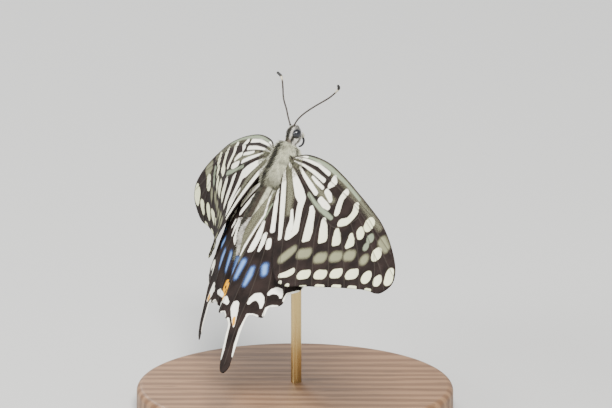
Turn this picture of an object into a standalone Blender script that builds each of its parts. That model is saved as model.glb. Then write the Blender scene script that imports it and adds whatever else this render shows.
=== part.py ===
"""A life-size Asian swallowtail in flight, held over a round stand by one rod.

Sizes in this file are millimetres until MM turns them into metres. The animal is modelled in its
own frame, +X to its right, +Y towards its head and +Z to its back, with the middle of the thorax
at the centre. One empty then turns that frame nose up and sets it above the stand. Each wing is
drawn flat, with its hinge at (0, 0), and wing_point bends it and lays it on its hinge.
"""
import bpy
import bmesh
from math import cos, hypot, pi, radians, sin
from mathutils import Matrix, Vector
from mathutils.geometry import delaunay_2d_cdt

MM = 0.001
GAP = 0.3

# How the animal hangs over the stand
HEADING = 37.8
PITCH = 53.9
ROLL = 11.6
THORAX_HEIGHT = 47.0
THORAX_OFFSET = (-2.0, 1.0)
BASE_RADIUS = 30.0
BASE_THICK = 5.0
BASE_BEVEL = 1.2
ROD_RADIUS = 1.0
ROD_MEETS = (0.0, -0.6, -3.35)
ROD_SHORT = 1.6
BASE_SIDES = 48
ROD_SIDES = 16

# Body: stations along the body as (forward, centre height, half width, up, down)
THORAX = [(-4.2, 1.15, 1.6, 1.7, 1.7), (-3.3, 0.95, 2.3, 2.2, 2.7), (-1.8, 0.5, 2.8, 2.8, 3.5),
          (0.0, 0.2, 3.0, 3.1, 3.6), (1.6, 0.3, 3.0, 3.1, 3.4), (3.0, 0.7, 2.6, 2.8, 2.9),
          (4.0, 1.1, 2.0, 2.1, 2.1), (4.6, 1.3, 1.3, 1.4, 1.3)]
HEAD = [(4.9, 1.4, 1.1, 1.1, 1.1), (5.6, 1.5, 1.45, 1.35, 1.45), (6.6, 1.6, 1.6, 1.5, 1.6),
        (7.3, 1.8, 1.45, 1.25, 1.3), (7.8, 1.95, 1.15, 0.8, 0.8), (8.1, 2.05, 0.55, 0.4, 0.4)]
ABDOMEN_FRONT = -4.5
ABDOMEN_LENGTH = 12.3
ABDOMEN_RADIUS = 1.85
ABDOMEN_LEVEL = 1.15
ABDOMEN_DROOP = 0.15
ABDOMEN_SEGMENTS = 8
ABDOMEN_GROOVE = 0.1
RINGS_PER_SEGMENT = 3
BODY_SIDES = 24
TUBE_SIDES = 8

EYE_CENTRE = (1.22, 6.68, 1.83)
EYE_RADII = (0.72, 0.92, 0.86)
FEELER = [(0.9, 7.95, 3.2), (2.0, 9.1, 3.43), (3.66, 10.47, 3.67), (6.37, 12.27, 3.79),
          (9.09, 14.34, 3.56), (10.41, 15.55, 3.59), (11.24, 16.31, 3.76), (11.7, 16.68, 4.03),
          (12.2, 16.89, 4.71)]
FEELER_STEPS = 24
SHAFT_RADIUS = 0.2
CLUB_RADIUS = 0.3
CLUB_START = 0.72
CLUB_LENGTH = 0.34
ROUND_END = 0.6
PALP = [(0.75, 6.85, -0.5), (0.72, 7.35, -0.25), (0.6, 7.75, 0.2)]
PALP_RADII = [0.16, 0.2, 0.2, 0.19, 0.17, 0.1]
TONGUE = [(0.0, 7.02, -0.45), (0.0, 6.63, -0.8), (0.0, 5.94, -1.05), (0.0, 5.3, -0.85), (0.0, 5.05, -0.5)]
TONGUE_RADII = [0.22] * 13 + [0.2, 0.15]

# Legs: points of the right leg as (right, forward, up), from the coxa to the claws
LEGS = {
    "front": [(0.9, 2.9, -2.95), (1.35, 3.3, -4.3), (1.3, 1.4, -5.2), (1.25, -0.6, -5.7)],
    "middle": [(1.75, 0.6, -3.45), (3.1, 0.9, -4.6), (3.5, -2.6, -5.6), (2.8, -6.9, -5.2)],
    "hind": [(1.55, -1.7, -3.28), (2.5, -2.6, -4.15), (2.7, -6.6, -3.6), (2.0, -11.6, -2.7)],
}
LEG_RADII = [0.45, 0.45, 0.34, 0.25]
LEG_STEPS = (0.0, 0.5)

# Wings: hinge as (right, forward, up) and the attitude of each wing
FORE_HINGE = (2.2, 2.0, 1.7)
HIND_HINGE = (2.2, -1.8, 0.5)
FORE_SPAN = 38.0
HIND_SPAN = -62.0
# Dihedral, twist and sweep in degrees. Then for each millimetre the bend across, and past its
# turn, the bend along, and past its turn, the warp, and the warp that grows outwards.
ATTITUDE = {
    "forewing_right": (-7.0, 2.2, -57.2, -0.008, -0.008, 0.0, 0.0, 0.0, 0.0),
    "forewing_left": (-1.4, -3.8, -45.6, 0.0532, -0.0291, 0.0133, -0.0154, 0.0074, 0.000177),
    "hindwing_right": (-12.0, -6.0, -3.0, 0.03, 0.03, 0.003, 0.003, 0.0, 0.0),
    "hindwing_left": (-2.7, 7.6, 15.6, 0.0403, -0.0276, 0.0119, 0.0119, -0.0054, 0.000014),
}
FORE_TURN = -4.0
HIND_TURN = 6.0
ALONG_TURN = 34.0
MEMBRANE = 0.5
RIDGE = 0.2
RIDGE_HALF = 0.5
VEIN_STEP = 3.2
FIELD_STEP = 4.2
VEIN_FROM_RIM = 0.3
FIELD_FROM_RIM = 1.2
FIELD_FROM_VEIN = 1.4
FOLD_LINE = [(-28.5, 4.4), (-24.0, 3.3), (-17.0, 2.2), (-13.0, 2.4), (-9.0, 2.5), (-5.0, 2.0), (-1.0, 0.4)]
FOLD_UP = 0.5
FOLD_DOWN = -0.36
FOLD_TURNS = (-10.0, -19.0)
LEAST_CURL = 0.001

FORE_OUTLINE = [
    (0.6, 1.4), (2.0, 5.8), (6.1, 11.5), (11.1, 16.1), (16.2, 20.1), (21.1, 23.8), (26.0, 27.2),
    (31.0, 29.7), (36.0, 31.4), (39.2, 31.8), (41.2, 31.0), (41.9, 28.6), (41.4, 26.8),
    (40.0, 24.8), (38.5, 21.9), (37.2, 19.0), (35.9, 16.0), (34.8, 13.2), (33.5, 10.1),
    (32.4, 7.3), (31.4, 4.3), (30.2, 2.2), (28.2, 0.4), (24.5, -0.9), (18.0, -1.4),
    (11.0, -1.5), (6.5, -1.5), (4.0, -1.2), (2.6, -0.4), (1.4, 0.5)]
FORE_VEINS = {
    "Sc": [(0.9, 1.9), (3.2, 6.2), (7.4, 11.2), (14.0, 17.0), (20.4, 22.0), (25.4, 26.2)],
    "R": [(1.1, 1.2), (4.6, 6.0), (9.0, 10.8), (14.6, 16.0), (20.9, 21.0)],
    "R2": [(14.6, 16.0), (21.0, 21.9), (27.5, 26.0), (34.2, 30.4)],
    "R3": [(20.9, 21.0), (26.6, 24.7), (32.6, 27.8), (39.4, 31.4)],
    "R4": [(22.2, 20.8), (27.5, 23.6), (32.0, 25.7), (36.6, 27.8), (41.6, 29.2)],
    "R5": [(32.0, 25.7), (36.6, 26.3), (40.8, 26.1)],
    "M1": [(22.6, 18.8), (28.0, 20.8), (33.4, 21.9), (38.7, 22.6)],
    "M2": [(22.5, 15.8), (27.2, 17.0), (32.0, 18.0), (36.9, 18.6)],
    "M3": [(21.0, 13.4), (25.4, 13.3), (30.2, 13.9), (35.1, 14.4)],
    "Cu": [(1.6, 0.9), (5.5, 3.6), (10.0, 6.2), (13.2, 7.7), (17.3, 10.4), (21.0, 13.4),
           (22.5, 15.8), (22.6, 18.8), (22.2, 20.8), (20.9, 21.0)],
    "CuA1": [(17.3, 10.4), (22.0, 9.4), (27.6, 9.6), (33.4, 10.1)],
    "CuA2": [(13.2, 7.7), (17.2, 6.1), (22.0, 5.5), (27.0, 5.6), (31.8, 5.8)],
    "2A": [(2.6, 0.2), (8.0, 0.8), (14.0, 1.2), (20.0, 1.1), (26.0, 1.2), (30.0, 1.9)],
}
HIND_OUTLINE = [
    (1.6, 0.9), (5.5, 1.2), (11.0, 1.0), (16.0, -0.2), (19.6, -2.4), (21.9, -5.6), (22.6, -9.0),
    (22.3, -12.2), (22.0, -14.6), (20.9, -16.2), (20.6, -18.6), (19.0, -20.3), (19.2, -22.3),
    (18.4, -23.3), (16.9, -24.2), (17.1, -26.2), (15.4, -26.7), (13.3, -27.2), (13.6, -30.0),
    (14.5, -33.0), (15.4, -36.0), (15.8, -37.6), (15.0, -38.9), (13.5, -38.6), (12.3, -37.0),
    (11.3, -35.0), (10.2, -32.8), (9.2, -30.4), (8.2, -29.5), (7.0, -29.1), (5.8, -28.3),
    (4.4, -28.6), (2.7, -28.3), (1.2, -27.2), (0.1, -24.6), (-0.6, -21.0), (-0.9, -17.0),
    (-0.8, -13.0), (-0.1, -9.0), (0.2, -5.5), (0.6, -3.2), (1.3, -1.6)]
HIND_VEINS = {
    "2A": [(1.4, -2.6), (1.2, -7.5), (0.9, -13.0), (0.8, -18.0), (1.2, -23.0), (1.8, -27.4)],
    "Cu": [(1.5, -1.5), (2.1, -4.5), (2.7, -7.8), (4.0, -10.4), (6.3, -11.7), (8.7, -11.2),
           (9.6, -8.7), (8.2, -5.6), (4.8, -2.6), (2.0, -0.9)],
    "CuA2": [(2.7, -7.8), (2.7, -12.5), (2.7, -18.0), (3.6, -24.0), (4.4, -28.4)],
    "CuA1": [(4.0, -10.4), (5.1, -14.5), (6.3, -20.0), (7.2, -25.0), (7.8, -29.2)],
    "M3": [(6.3, -11.7), (8.6, -17.0), (10.6, -23.0), (11.7, -28.5), (12.9, -33.0), (14.2, -37.2)],
    "M2": [(8.7, -11.2), (11.6, -16.0), (14.5, -21.4), (17.0, -26.0)],
    "M1": [(9.6, -8.7), (13.5, -13.2), (16.6, -17.8), (19.0, -22.1)],
    "Rs": [(8.2, -5.6), (13.4, -9.0), (17.5, -12.6), (20.8, -16.4)],
    "ScR1": [(2.2, -0.1), (7.0, -1.4), (12.5, -2.6), (17.8, -5.4), (22.2, -10.0)],
}

MATERIALS = {
    "scale_black": ((0.030, 0.024, 0.020), 0.75),
    "hair_cream": ((0.60, 0.58, 0.46), 0.85),
    "eye_black": ((0.012, 0.012, 0.015), 0.15),
    "shaft_brown": ((0.040, 0.028, 0.022), 0.5),
    "leg_grey": ((0.22, 0.20, 0.15), 0.7),
    "stand_wood": ((0.30, 0.19, 0.11), 0.5),
    "rod_brass": ((0.55, 0.42, 0.20), 0.3),
}


def clear_scene():
    for thing in list(bpy.data.objects):
        bpy.data.objects.remove(thing, do_unlink=True)


def material(name):
    colour, roughness = MATERIALS[name]
    made = bpy.data.materials.get(name)
    if made is None:
        made = bpy.data.materials.new(name)
        made.use_nodes = True
        shader = made.node_tree.nodes["Principled BSDF"]
        shader.inputs["Base Color"].default_value = (*colour, 1.0)
        shader.inputs["Roughness"].default_value = roughness
        shader.inputs["Metallic"].default_value = 1.0 if name == "rod_brass" else 0.0
    return made


def add_piece(name, vertices, faces, finish, parent=None, smooth=True):
    """One closed mesh object; its vertices come in millimetres."""
    mesh = bpy.data.meshes.new(name)
    mesh.from_pydata([tuple(c * MM for c in v) for v in vertices], [], faces)
    shape = bmesh.new()
    shape.from_mesh(mesh)
    bmesh.ops.recalc_face_normals(shape, faces=shape.faces)
    shape.to_mesh(mesh)
    shape.free()
    if smooth:
        mesh.shade_smooth()
        mesh.set_sharp_from_angle(angle=radians(50))
    mesh.materials.append(material(finish))
    piece = bpy.data.objects.new(name, mesh)
    bpy.context.scene.collection.objects.link(piece)
    piece.parent = parent
    return piece


def join_rings(rings):
    """Vertices and faces of a closed skin over rings of equal count, with a fan at each end."""
    count = len(rings[0])
    vertices = [p for ring in rings for p in ring]
    faces = []
    for row in range(len(rings) - 1):
        for i in range(count):
            a, b = row * count + i, row * count + (i + 1) % count
            faces.append((a, b, b + count, a + count))
    for row in (0, len(rings) - 1):
        centre = sum((Vector(p) for p in rings[row]), Vector()) / count
        vertices.append(tuple(centre))
        hub = len(vertices) - 1
        for i in range(count):
            faces.append((row * count + i, row * count + (i + 1) % count, hub))
    return vertices, faces


def curve_through(points, t):
    """Catmull-Rom curve through points of any size, with t from 0 to 1."""
    last = len(points) - 1
    at = min(t * last, last - 1e-9)
    i = int(at)
    f = at - i
    p0, p1 = points[max(i - 1, 0)], points[i]
    p2, p3 = points[i + 1], points[min(i + 2, last)]
    return tuple(0.5 * (2 * b + (c - a) * f + (2 * a - 5 * b + 4 * c - d) * f * f
                        + (3 * b - a - 3 * c + d) * f ** 3)
                 for a, b, c, d in zip(p0, p1, p2, p3))


def body_ring(station):
    """Ring of points round the body at one station."""
    forward, centre, half, up, down = station
    ring = []
    for i in range(BODY_SIDES):
        turn = 2 * pi * i / BODY_SIDES
        height = up if sin(turn) > 0 else down
        ring.append((half * cos(turn), forward, centre + height * sin(turn)))
    return ring


def loft_body(name, stations, steps, finish, frame):
    rings = [body_ring(curve_through(stations, i / steps)) for i in range(steps + 1)]
    return add_piece(name, *join_rings(rings), finish, frame)


def tube(points, radii, sides):
    """Rings of a round tube along points, with a radius for each."""
    path = [Vector(p) for p in points]
    rings = []
    normal = None
    for i, here in enumerate(path):
        ahead = (path[min(i + 1, len(path) - 1)] - path[max(i - 1, 0)]).normalized()
        if normal is None:
            normal = ahead.orthogonal().normalized()
        normal = (normal - ahead * normal.dot(ahead)).normalized()
        across = ahead.cross(normal)
        ring = []
        for k in range(sides):
            turn = 2 * pi * k / sides
            ring.append(tuple(here + (normal * cos(turn) + across * sin(turn)) * radii[i]))
        rings.append(ring)
    return join_rings(rings)


def mirrored(point, side):
    return (side * point[0], point[1], point[2])


def make_thorax(frame):
    return loft_body("thorax", THORAX, 18, "hair_cream", frame)


def make_abdomen(frame):
    """Eight ringed segments, widest near the front and rounded off at the tip."""
    rows = ABDOMEN_SEGMENTS * RINGS_PER_SEGMENT
    rings = []
    for i in range(rows + 1):
        t = i / rows
        waist = 1 - 0.16 * (1 - t) ** 6
        taper = max(1 - t ** 4.2, 0.02) ** 0.5
        between = i % RINGS_PER_SEGMENT == 0 and 0 < i < rows
        radius = ABDOMEN_RADIUS * waist * taper - (ABDOMEN_GROOVE if between else 0.0)
        centre = ABDOMEN_LEVEL - ABDOMEN_DROOP * t
        rings.append(body_ring((ABDOMEN_FRONT - ABDOMEN_LENGTH * t, centre, radius, radius, radius)))
    return add_piece("abdomen", *join_rings(rings), "scale_black", frame)


def add_ball(name, centre, radii, finish, frame, rows=10, sides=16):
    rings = []
    for i in range(1, rows):
        lift = pi * i / rows
        ring = []
        for k in range(sides):
            turn = 2 * pi * k / sides
            ring.append((centre[0] + radii[0] * cos(lift), centre[1] + radii[1] * sin(lift) * cos(turn),
                         centre[2] + radii[2] * sin(lift) * sin(turn)))
        rings.append(ring)
    vertices, faces = join_rings(rings)
    for hub, way in ((-2, 1), (-1, -1)):
        vertices[hub] = (centre[0] + way * radii[0], centre[1], centre[2])
    return add_piece(name, vertices, faces, finish, frame)


def cut_away(piece, cutter):
    """Boolean difference applied in place, with the cutter removed after it."""
    cut = piece.modifiers.new("cut", "BOOLEAN")
    cut.operation = "DIFFERENCE"
    cut.solver = "EXACT"
    cut.object = cutter
    bpy.context.view_layer.update()
    shape = bpy.data.meshes.new_from_object(piece.evaluated_get(bpy.context.evaluated_depsgraph_get()))
    piece.modifiers.remove(cut)
    piece.data = shape
    bpy.data.objects.remove(cutter, do_unlink=True)


def make_head(frame):
    head = loft_body("head", HEAD, 12, "scale_black", frame)
    for side, word in ((1, "right"), (-1, "left")):
        centre = mirrored(EYE_CENTRE, side)
        add_ball("eye_" + word, centre, EYE_RADII, "eye_black", frame)
        socket = [radius + GAP for radius in EYE_RADII]
        cut_away(head, add_ball("socket", centre, socket, "eye_black", frame))
    return head


def make_antenna(side, word, frame):
    """A shaft through the given points that swells to a small club at its end."""
    points, radii = [], []
    for i in range(FEELER_STEPS + 1):
        t = i / FEELER_STEPS
        points.append(mirrored(curve_through(FEELER, t), side))
        club = sin(pi * max(t - CLUB_START, 0.0) / CLUB_LENGTH)
        radii.append(SHAFT_RADIUS + (CLUB_RADIUS - SHAFT_RADIUS) * club)
    radii[-1] *= ROUND_END
    return add_piece("antenna_" + word, *tube(points, radii, TUBE_SIDES), "shaft_brown", frame)


def make_palp(side, word, frame):
    last = len(PALP_RADII) - 1
    points = [mirrored(curve_through(PALP, i / last), side) for i in range(last + 1)]
    return add_piece("palp_" + word, *tube(points, PALP_RADII, TUBE_SIDES), "hair_cream", frame)


def make_proboscis(frame):
    """The tongue, curled to an open hook under the head."""
    last = len(TONGUE_RADII) - 1
    points = [tuple(curve_through(TONGUE, i / last)) for i in range(last + 1)]
    return add_piece("proboscis", *tube(points, TONGUE_RADII, TUBE_SIDES), "shaft_brown", frame)


def make_leg(pair, side, word, frame):
    """Thigh, shin and foot as one bent tube, folded back under the thorax."""
    joints = [mirrored(p, side) for p in LEGS[pair]]
    points, radii = [], []
    for i in range(len(joints) - 1):
        for t in LEG_STEPS:
            points.append(tuple(Vector(joints[i]).lerp(Vector(joints[i + 1]), t)))
            radii.append(LEG_RADII[i] + (LEG_RADII[i + 1] - LEG_RADII[i]) * t)
    points.append(joints[-1])
    radii.append(LEG_RADII[-1] * ROUND_END)
    return add_piece("leg_%s_%s" % (pair, word), *tube(points, radii, TUBE_SIDES), "leg_grey", frame)


def fold_at(y):
    """Where the inner strip of a hindwing starts to fold, and how sharply it curls."""
    y = min(max(y, FOLD_LINE[0][0]), FOLD_LINE[-1][0])
    i = max(k for k in range(len(FOLD_LINE) - 1) if FOLD_LINE[k][0] <= y)
    (y0, x0), (y1, x1) = FOLD_LINE[i], FOLD_LINE[i + 1]
    start = x0 + (x1 - x0) * (y - y0) / (y1 - y0)
    s = min(max((y - FOLD_TURNS[0]) / (FOLD_TURNS[1] - FOLD_TURNS[0]), 0.0), 1.0)
    s = s * s * (3 - 2 * s)
    curl = FOLD_UP * (1 - s) + FOLD_DOWN * s
    return start, (curl if abs(curl) > LEAST_CURL else LEAST_CURL)


def arc(width, curve):
    """A length laid round an arc: how far it reaches, and how far it drops."""
    if abs(curve) < 1e-6:
        return width, 0.0
    return sin(curve * width) / curve, -(1 - cos(curve * width)) / curve


def bend(width, curve, turn, curve_past):
    """A length laid round two arcs that meet smoothly at turn."""
    near = min(width, turn) if turn > 0 else max(width, turn)
    reach, drop = arc(near, curve)
    more, fall = arc(width - near, curve_past)
    slope = curve * turn
    return reach + cos(slope) * more + sin(slope) * fall, drop - sin(slope) * more + cos(slope) * fall


def wing_point(name, x, y):
    """A point of the flat wing, bent and set on its hinge."""
    dihedral, twist, sweep, across, across_past, along, along_past, warp, tip_warp = ATTITUDE[name]
    fore = name.startswith("fore")
    side = 1 if name.endswith("right") else -1
    lift = 0.0
    if not fore:
        start, curl = fold_at(y)
        if x < start:
            x, lift = start - sin(curl * (start - x)) / curl, (1 - cos(curl * (start - x))) / curl
    span = radians(FORE_SPAN if fore else HIND_SPAN)
    a, b = (cos(span), sin(span)), (-sin(span), cos(span))
    w0, w1 = x * a[0] + y * a[1], x * b[0] + y * b[1]
    c0, z0 = bend(w0, along, ALONG_TURN, along_past)
    c1, z1 = bend(w1, across, FORE_TURN if fore else HIND_TURN, across_past)
    height = z0 + z1 + lift + (warp + tip_warp * w0) * w0 * w1
    flat = Vector((c0 * a[0] + c1 * b[0], c0 * a[1] + c1 * b[1], height))
    turn = (Matrix.Rotation(radians(-dihedral), 3, "Y") @ Matrix.Rotation(radians(twist), 3, "X")
            @ Matrix.Rotation(radians(sweep), 3, "Z"))
    p = turn @ flat + Vector(FORE_HINGE if fore else HIND_HINGE)
    return Vector((side * p.x, p.y, p.z))


def along_line(points, step):
    """Points spaced along a smooth curve through the given ones."""
    length = sum(hypot(q[0] - p[0], q[1] - p[1]) for p, q in zip(points, points[1:]))
    count = max(2, round(length / step))
    return [curve_through(points, i / count) for i in range(count + 1)]


def to_segment(p, a, b):
    """Distance from p to the segment a b."""
    dx, dy = b[0] - a[0], b[1] - a[1]
    t = ((p[0] - a[0]) * dx + (p[1] - a[1]) * dy) / max(dx * dx + dy * dy, 1e-12)
    t = min(max(t, 0.0), 1.0)
    return hypot(p[0] - a[0] - t * dx, p[1] - a[1] - t * dy)


def inside(p, outline):
    odd = False
    for a, b in zip(outline, outline[1:] + outline[:1]):
        if (a[1] > p[1]) != (b[1] > p[1]):
            if p[0] < a[0] + (p[1] - a[1]) * (b[0] - a[0]) / (b[1] - a[1]):
                odd = not odd
    return odd


def vein_lines(veins, outline):
    """Middle line and both feet of each vein's ridge, and the middle lines alone."""
    edge = list(zip(outline, outline[1:] + outline[:1]))
    rows, middles = [], []
    for points in veins.values():
        middle = along_line(points, VEIN_STEP)
        middles.append(middle)
        rows.append(middle)
        for way in (-1, 1):
            foot = []
            for i, p in enumerate(middle):
                q, r = middle[max(i - 1, 0)], middle[min(i + 1, len(middle) - 1)]
                length = hypot(r[0] - q[0], r[1] - q[1])
                foot.append((p[0] - way * RIDGE_HALF * (r[1] - q[1]) / length,
                             p[1] + way * RIDGE_HALF * (r[0] - q[0]) / length))
            rows.append(foot)
    kept = []
    for row in rows:
        clear = [p for p in row if min(to_segment(p, *e) for e in edge) > VEIN_FROM_RIM]
        kept.append([p for p in clear if inside(p, outline)])
    return kept, middles


def ridge_height(p, middles, edge):
    near = min(to_segment(p, a, b) for line in middles for a, b in zip(line, line[1:]))
    rise = max(0.0, 1 - near / (RIDGE_HALF * 0.98))
    rim = min(1.0, min(to_segment(p, *e) for e in edge) / VEIN_FROM_RIM)
    return RIDGE * rise * rim


def flat_wing(outline, veins):
    """Triangles of the flat wing, laid along its outline and both feet of each vein."""
    points, edges = [], []
    for p in outline:
        points.append(Vector(p))
    edges += [(i, (i + 1) % len(outline)) for i in range(len(outline))]
    rows, middles = vein_lines(veins, outline)
    for row in rows:
        first = len(points)
        points += [Vector(p) for p in row]
        edges += [(first + i, first + i + 1) for i in range(len(row) - 1)]
    edge = list(zip(outline, outline[1:] + outline[:1]))
    low = [min(p[k] for p in outline) for k in (0, 1)]
    high = [max(p[k] for p in outline) for k in (0, 1)]
    row = 0
    y = low[1]
    while y < high[1]:
        x = low[0] + (0.5 * FIELD_STEP if row % 2 else 0.0)
        while x < high[0]:
            p = (x, y)
            far = inside(p, outline) and min(to_segment(p, *e) for e in edge) > FIELD_FROM_RIM
            if far and min(to_segment(p, a, b) for m in middles for a, b in zip(m, m[1:])) > FIELD_FROM_VEIN:
                points.append(Vector(p))
            x += FIELD_STEP
        y += FIELD_STEP * 0.87
        row += 1
    made = delaunay_2d_cdt(points, edges, [], 0, 0.02)
    flat = [tuple(p) for p in made[0]]
    keep = []
    for f in made[2]:
        centre = (sum(flat[i][0] for i in f) / 3, sum(flat[i][1] for i in f) / 3)
        if inside(centre, outline):
            keep.append(tuple(f))
    return flat, keep, [ridge_height(p, middles, edge) for p in flat]


def make_wing(name, flat, triangles, ridges, frame):
    """Two skins of the same triangles, joined round the rim, with the veins raised above."""
    used = sorted({i for t in triangles for i in t})
    index = {v: k for k, v in enumerate(used)}
    side = 1 if name.endswith("right") else -1
    top, under = [], []
    for v in used:
        x, y = flat[v]
        middle = wing_point(name, x, y)
        u = wing_point(name, x + 0.1, y) - wing_point(name, x - 0.1, y)
        w = wing_point(name, x, y + 0.1) - wing_point(name, x, y - 0.1)
        normal = u.cross(w).normalized() * side
        top.append(tuple(middle + normal * (MEMBRANE / 2 + ridges[v])))
        under.append(tuple(middle - normal * (MEMBRANE / 2)))
    count = len(used)
    faces, rim = [], {}
    for t in triangles:
        a, b, c = (index[i] for i in t)
        faces += [(a, b, c), (a + count, c + count, b + count)]
        for p, q in ((a, b), (b, c), (c, a)):
            rim[(p, q)] = True
    for p, q in rim:
        if (q, p) not in rim:
            faces += [(q, p, p + count), (q, p + count, q + count)]
    return add_piece(name, top + under, faces, "scale_black", frame, smooth=False)


def make_wings(frame):
    kinds = (("forewing", FORE_OUTLINE, FORE_VEINS), ("hindwing", HIND_OUTLINE, HIND_VEINS))
    for kind, outline, veins in kinds:
        shape = flat_wing(outline, veins)
        for word in ("right", "left"):
            make_wing(kind + "_" + word, *shape, frame)


def circle(centre, radius, z, sides):
    """A level ring of points."""
    turns = [2 * pi * k / sides for k in range(sides)]
    return [(centre[0] + radius * cos(turn), centre[1] + radius * sin(turn), z) for turn in turns]


def make_stand(frame):
    """Round base on the floor and one upright rod that stops just under the thorax."""
    profile = [(BASE_RADIUS, 0.0), (BASE_RADIUS, BASE_THICK - BASE_BEVEL)]
    for i in range(1, 4):
        turn = radians(30 * i)
        inset, drop = BASE_BEVEL * (1 - cos(turn)), BASE_BEVEL * (1 - sin(turn))
        profile.append((BASE_RADIUS - inset, BASE_THICK - drop))
    base = [circle((0.0, 0.0), radius, z, BASE_SIDES) for radius, z in profile]
    add_piece("stand_base", *join_rings(base), "stand_wood")
    meets = frame.matrix_world @ (Vector(ROD_MEETS) * MM) / MM
    rod = [circle(meets, ROD_RADIUS, z, ROD_SIDES) for z in (BASE_THICK + GAP, meets.z - ROD_SHORT)]
    add_piece("stand_rod", *join_rings(rod), "rod_brass")


def body_frame():
    """The empty that carries the animal, nose up and banked to its left."""
    frame = bpy.data.objects.new("butterfly", None)
    bpy.context.scene.collection.objects.link(frame)
    turn = (Matrix.Rotation(radians(HEADING - 90), 4, "Z") @ Matrix.Rotation(radians(PITCH), 4, "X")
            @ Matrix.Rotation(radians(-ROLL), 4, "Y"))
    place = Matrix.Translation((THORAX_OFFSET[0] * MM, THORAX_OFFSET[1] * MM, THORAX_HEIGHT * MM))
    frame.matrix_world = place @ turn
    return frame


def main():
    clear_scene()
    frame = body_frame()
    bpy.context.view_layer.update()
    make_thorax(frame)
    make_abdomen(frame)
    make_head(frame)
    for side, word in ((1, "right"), (-1, "left")):
        make_antenna(side, word, frame)
        make_palp(side, word, frame)
        for pair in LEGS:
            make_leg(pair, side, word, frame)
    make_proboscis(frame)
    make_wings(frame)
    make_stand(frame)
    bpy.context.view_layer.update()


main()
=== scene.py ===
"""Looks of a life-size Asian swallowtail in flight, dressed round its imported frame.

Lengths are millimetres until MM turns them into metres. The animal is worked out in its own frame,
+X to its right, +Y towards its head and +Z to its back, and to_world sets it above the stand. Each
wing is drawn flat, with its hinge at (0, 0), and wing_surface bends it as the frame's wing is bent.
"""

from math import cos, pi, radians, sin

import bpy
import numpy as np
from mathutils import Matrix, Vector
from mathutils.geometry import delaunay_2d_cdt


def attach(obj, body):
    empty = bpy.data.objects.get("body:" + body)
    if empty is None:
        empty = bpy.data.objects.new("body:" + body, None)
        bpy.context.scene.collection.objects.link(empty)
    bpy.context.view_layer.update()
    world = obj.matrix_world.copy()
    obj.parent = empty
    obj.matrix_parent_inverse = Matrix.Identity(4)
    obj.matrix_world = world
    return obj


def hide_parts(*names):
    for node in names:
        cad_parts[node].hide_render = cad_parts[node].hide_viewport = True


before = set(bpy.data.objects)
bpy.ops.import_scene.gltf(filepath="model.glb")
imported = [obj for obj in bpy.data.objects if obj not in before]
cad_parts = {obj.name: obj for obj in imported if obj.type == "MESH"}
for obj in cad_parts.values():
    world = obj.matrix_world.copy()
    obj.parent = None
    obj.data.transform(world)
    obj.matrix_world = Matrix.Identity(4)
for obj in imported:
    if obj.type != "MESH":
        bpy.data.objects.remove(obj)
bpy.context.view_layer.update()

MM = 0.001
SIDES = ((1, "right"), (-1, "left"))

# How the animal hangs over the stand
HEADING = 37.8
PITCH = 53.9
ROLL = 11.6
THORAX_PLACE = (-2.0, 1.0, 47.0)
BASE_RADIUS = 30.0
BASE_THICK = 5.0
BASE_BEVEL = 1.2
ROD_RADIUS = 1.0
ROD_MEETS = (0.0, -0.6, -3.35)
ROD_BELOW = 1.5
ROD_STARTS = 4.5
BASE_CHAMFER = 0.4
BASE_SIDES = 160
ROD_SIDES = 40
SHARP_ANGLE = 35.0

# Body: stations along it as (forward, centre height, half width, up, down)
THORAX = [(-4.2, 1.15, 1.6, 1.7, 1.7), (-3.3, 0.95, 2.3, 2.2, 2.7), (-1.8, 0.5, 2.8, 2.8, 3.5),
          (0.0, 0.2, 3.0, 3.1, 3.6), (1.6, 0.3, 3.0, 3.1, 3.4), (3.0, 0.7, 2.6, 2.8, 2.9),
          (4.0, 1.1, 2.0, 2.1, 2.1), (4.6, 1.3, 1.3, 1.4, 1.3)]
HEAD = [(4.9, 1.4, 1.1, 1.1, 1.1), (5.6, 1.5, 1.45, 1.35, 1.45), (6.6, 1.6, 1.6, 1.5, 1.6),
        (7.3, 1.8, 1.45, 1.25, 1.3), (7.8, 1.95, 1.15, 0.8, 0.8), (8.1, 2.05, 0.55, 0.4, 0.4)]
ABDOMEN_FRONT = -4.5
ABDOMEN_LENGTH = 12.3
ABDOMEN_RADIUS = 1.85
ABDOMEN_SEGMENTS = 8
SEGMENT_ROWS = 9
SEGMENT_LAP = 0.1
TABLE_ROWS = 44
SKIN_SIDES = 64
# Where the abdomen and the head meet the thorax, and how far the skin is evened out there
JOINS = ((-4.35, 0.9), (4.75, 0.7))

# Coat: how deep it lies on each part, how long it is, and how it is unwrapped
THORAX_COAT = 0.35
HEAD_COAT = 0.2
ABDOMEN_COAT = 0.15
SHORT_HAIR = 0.42
HEAD_SHORTER = 0.02
LUCK_SEED = 7
TUFT_TIP = 0.12
TUFT_PATCH = 0.003
UNWRAP_EDGE = 0.01
UNWRAP_SPAN = 0.97
# Patches of a wing that hair grows on: their points, and how far they lie above it
STRIP_POINTS = (14, 60)
STRIP_STEP = 0.5
STRIP_ABOVE = 0.05

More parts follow.
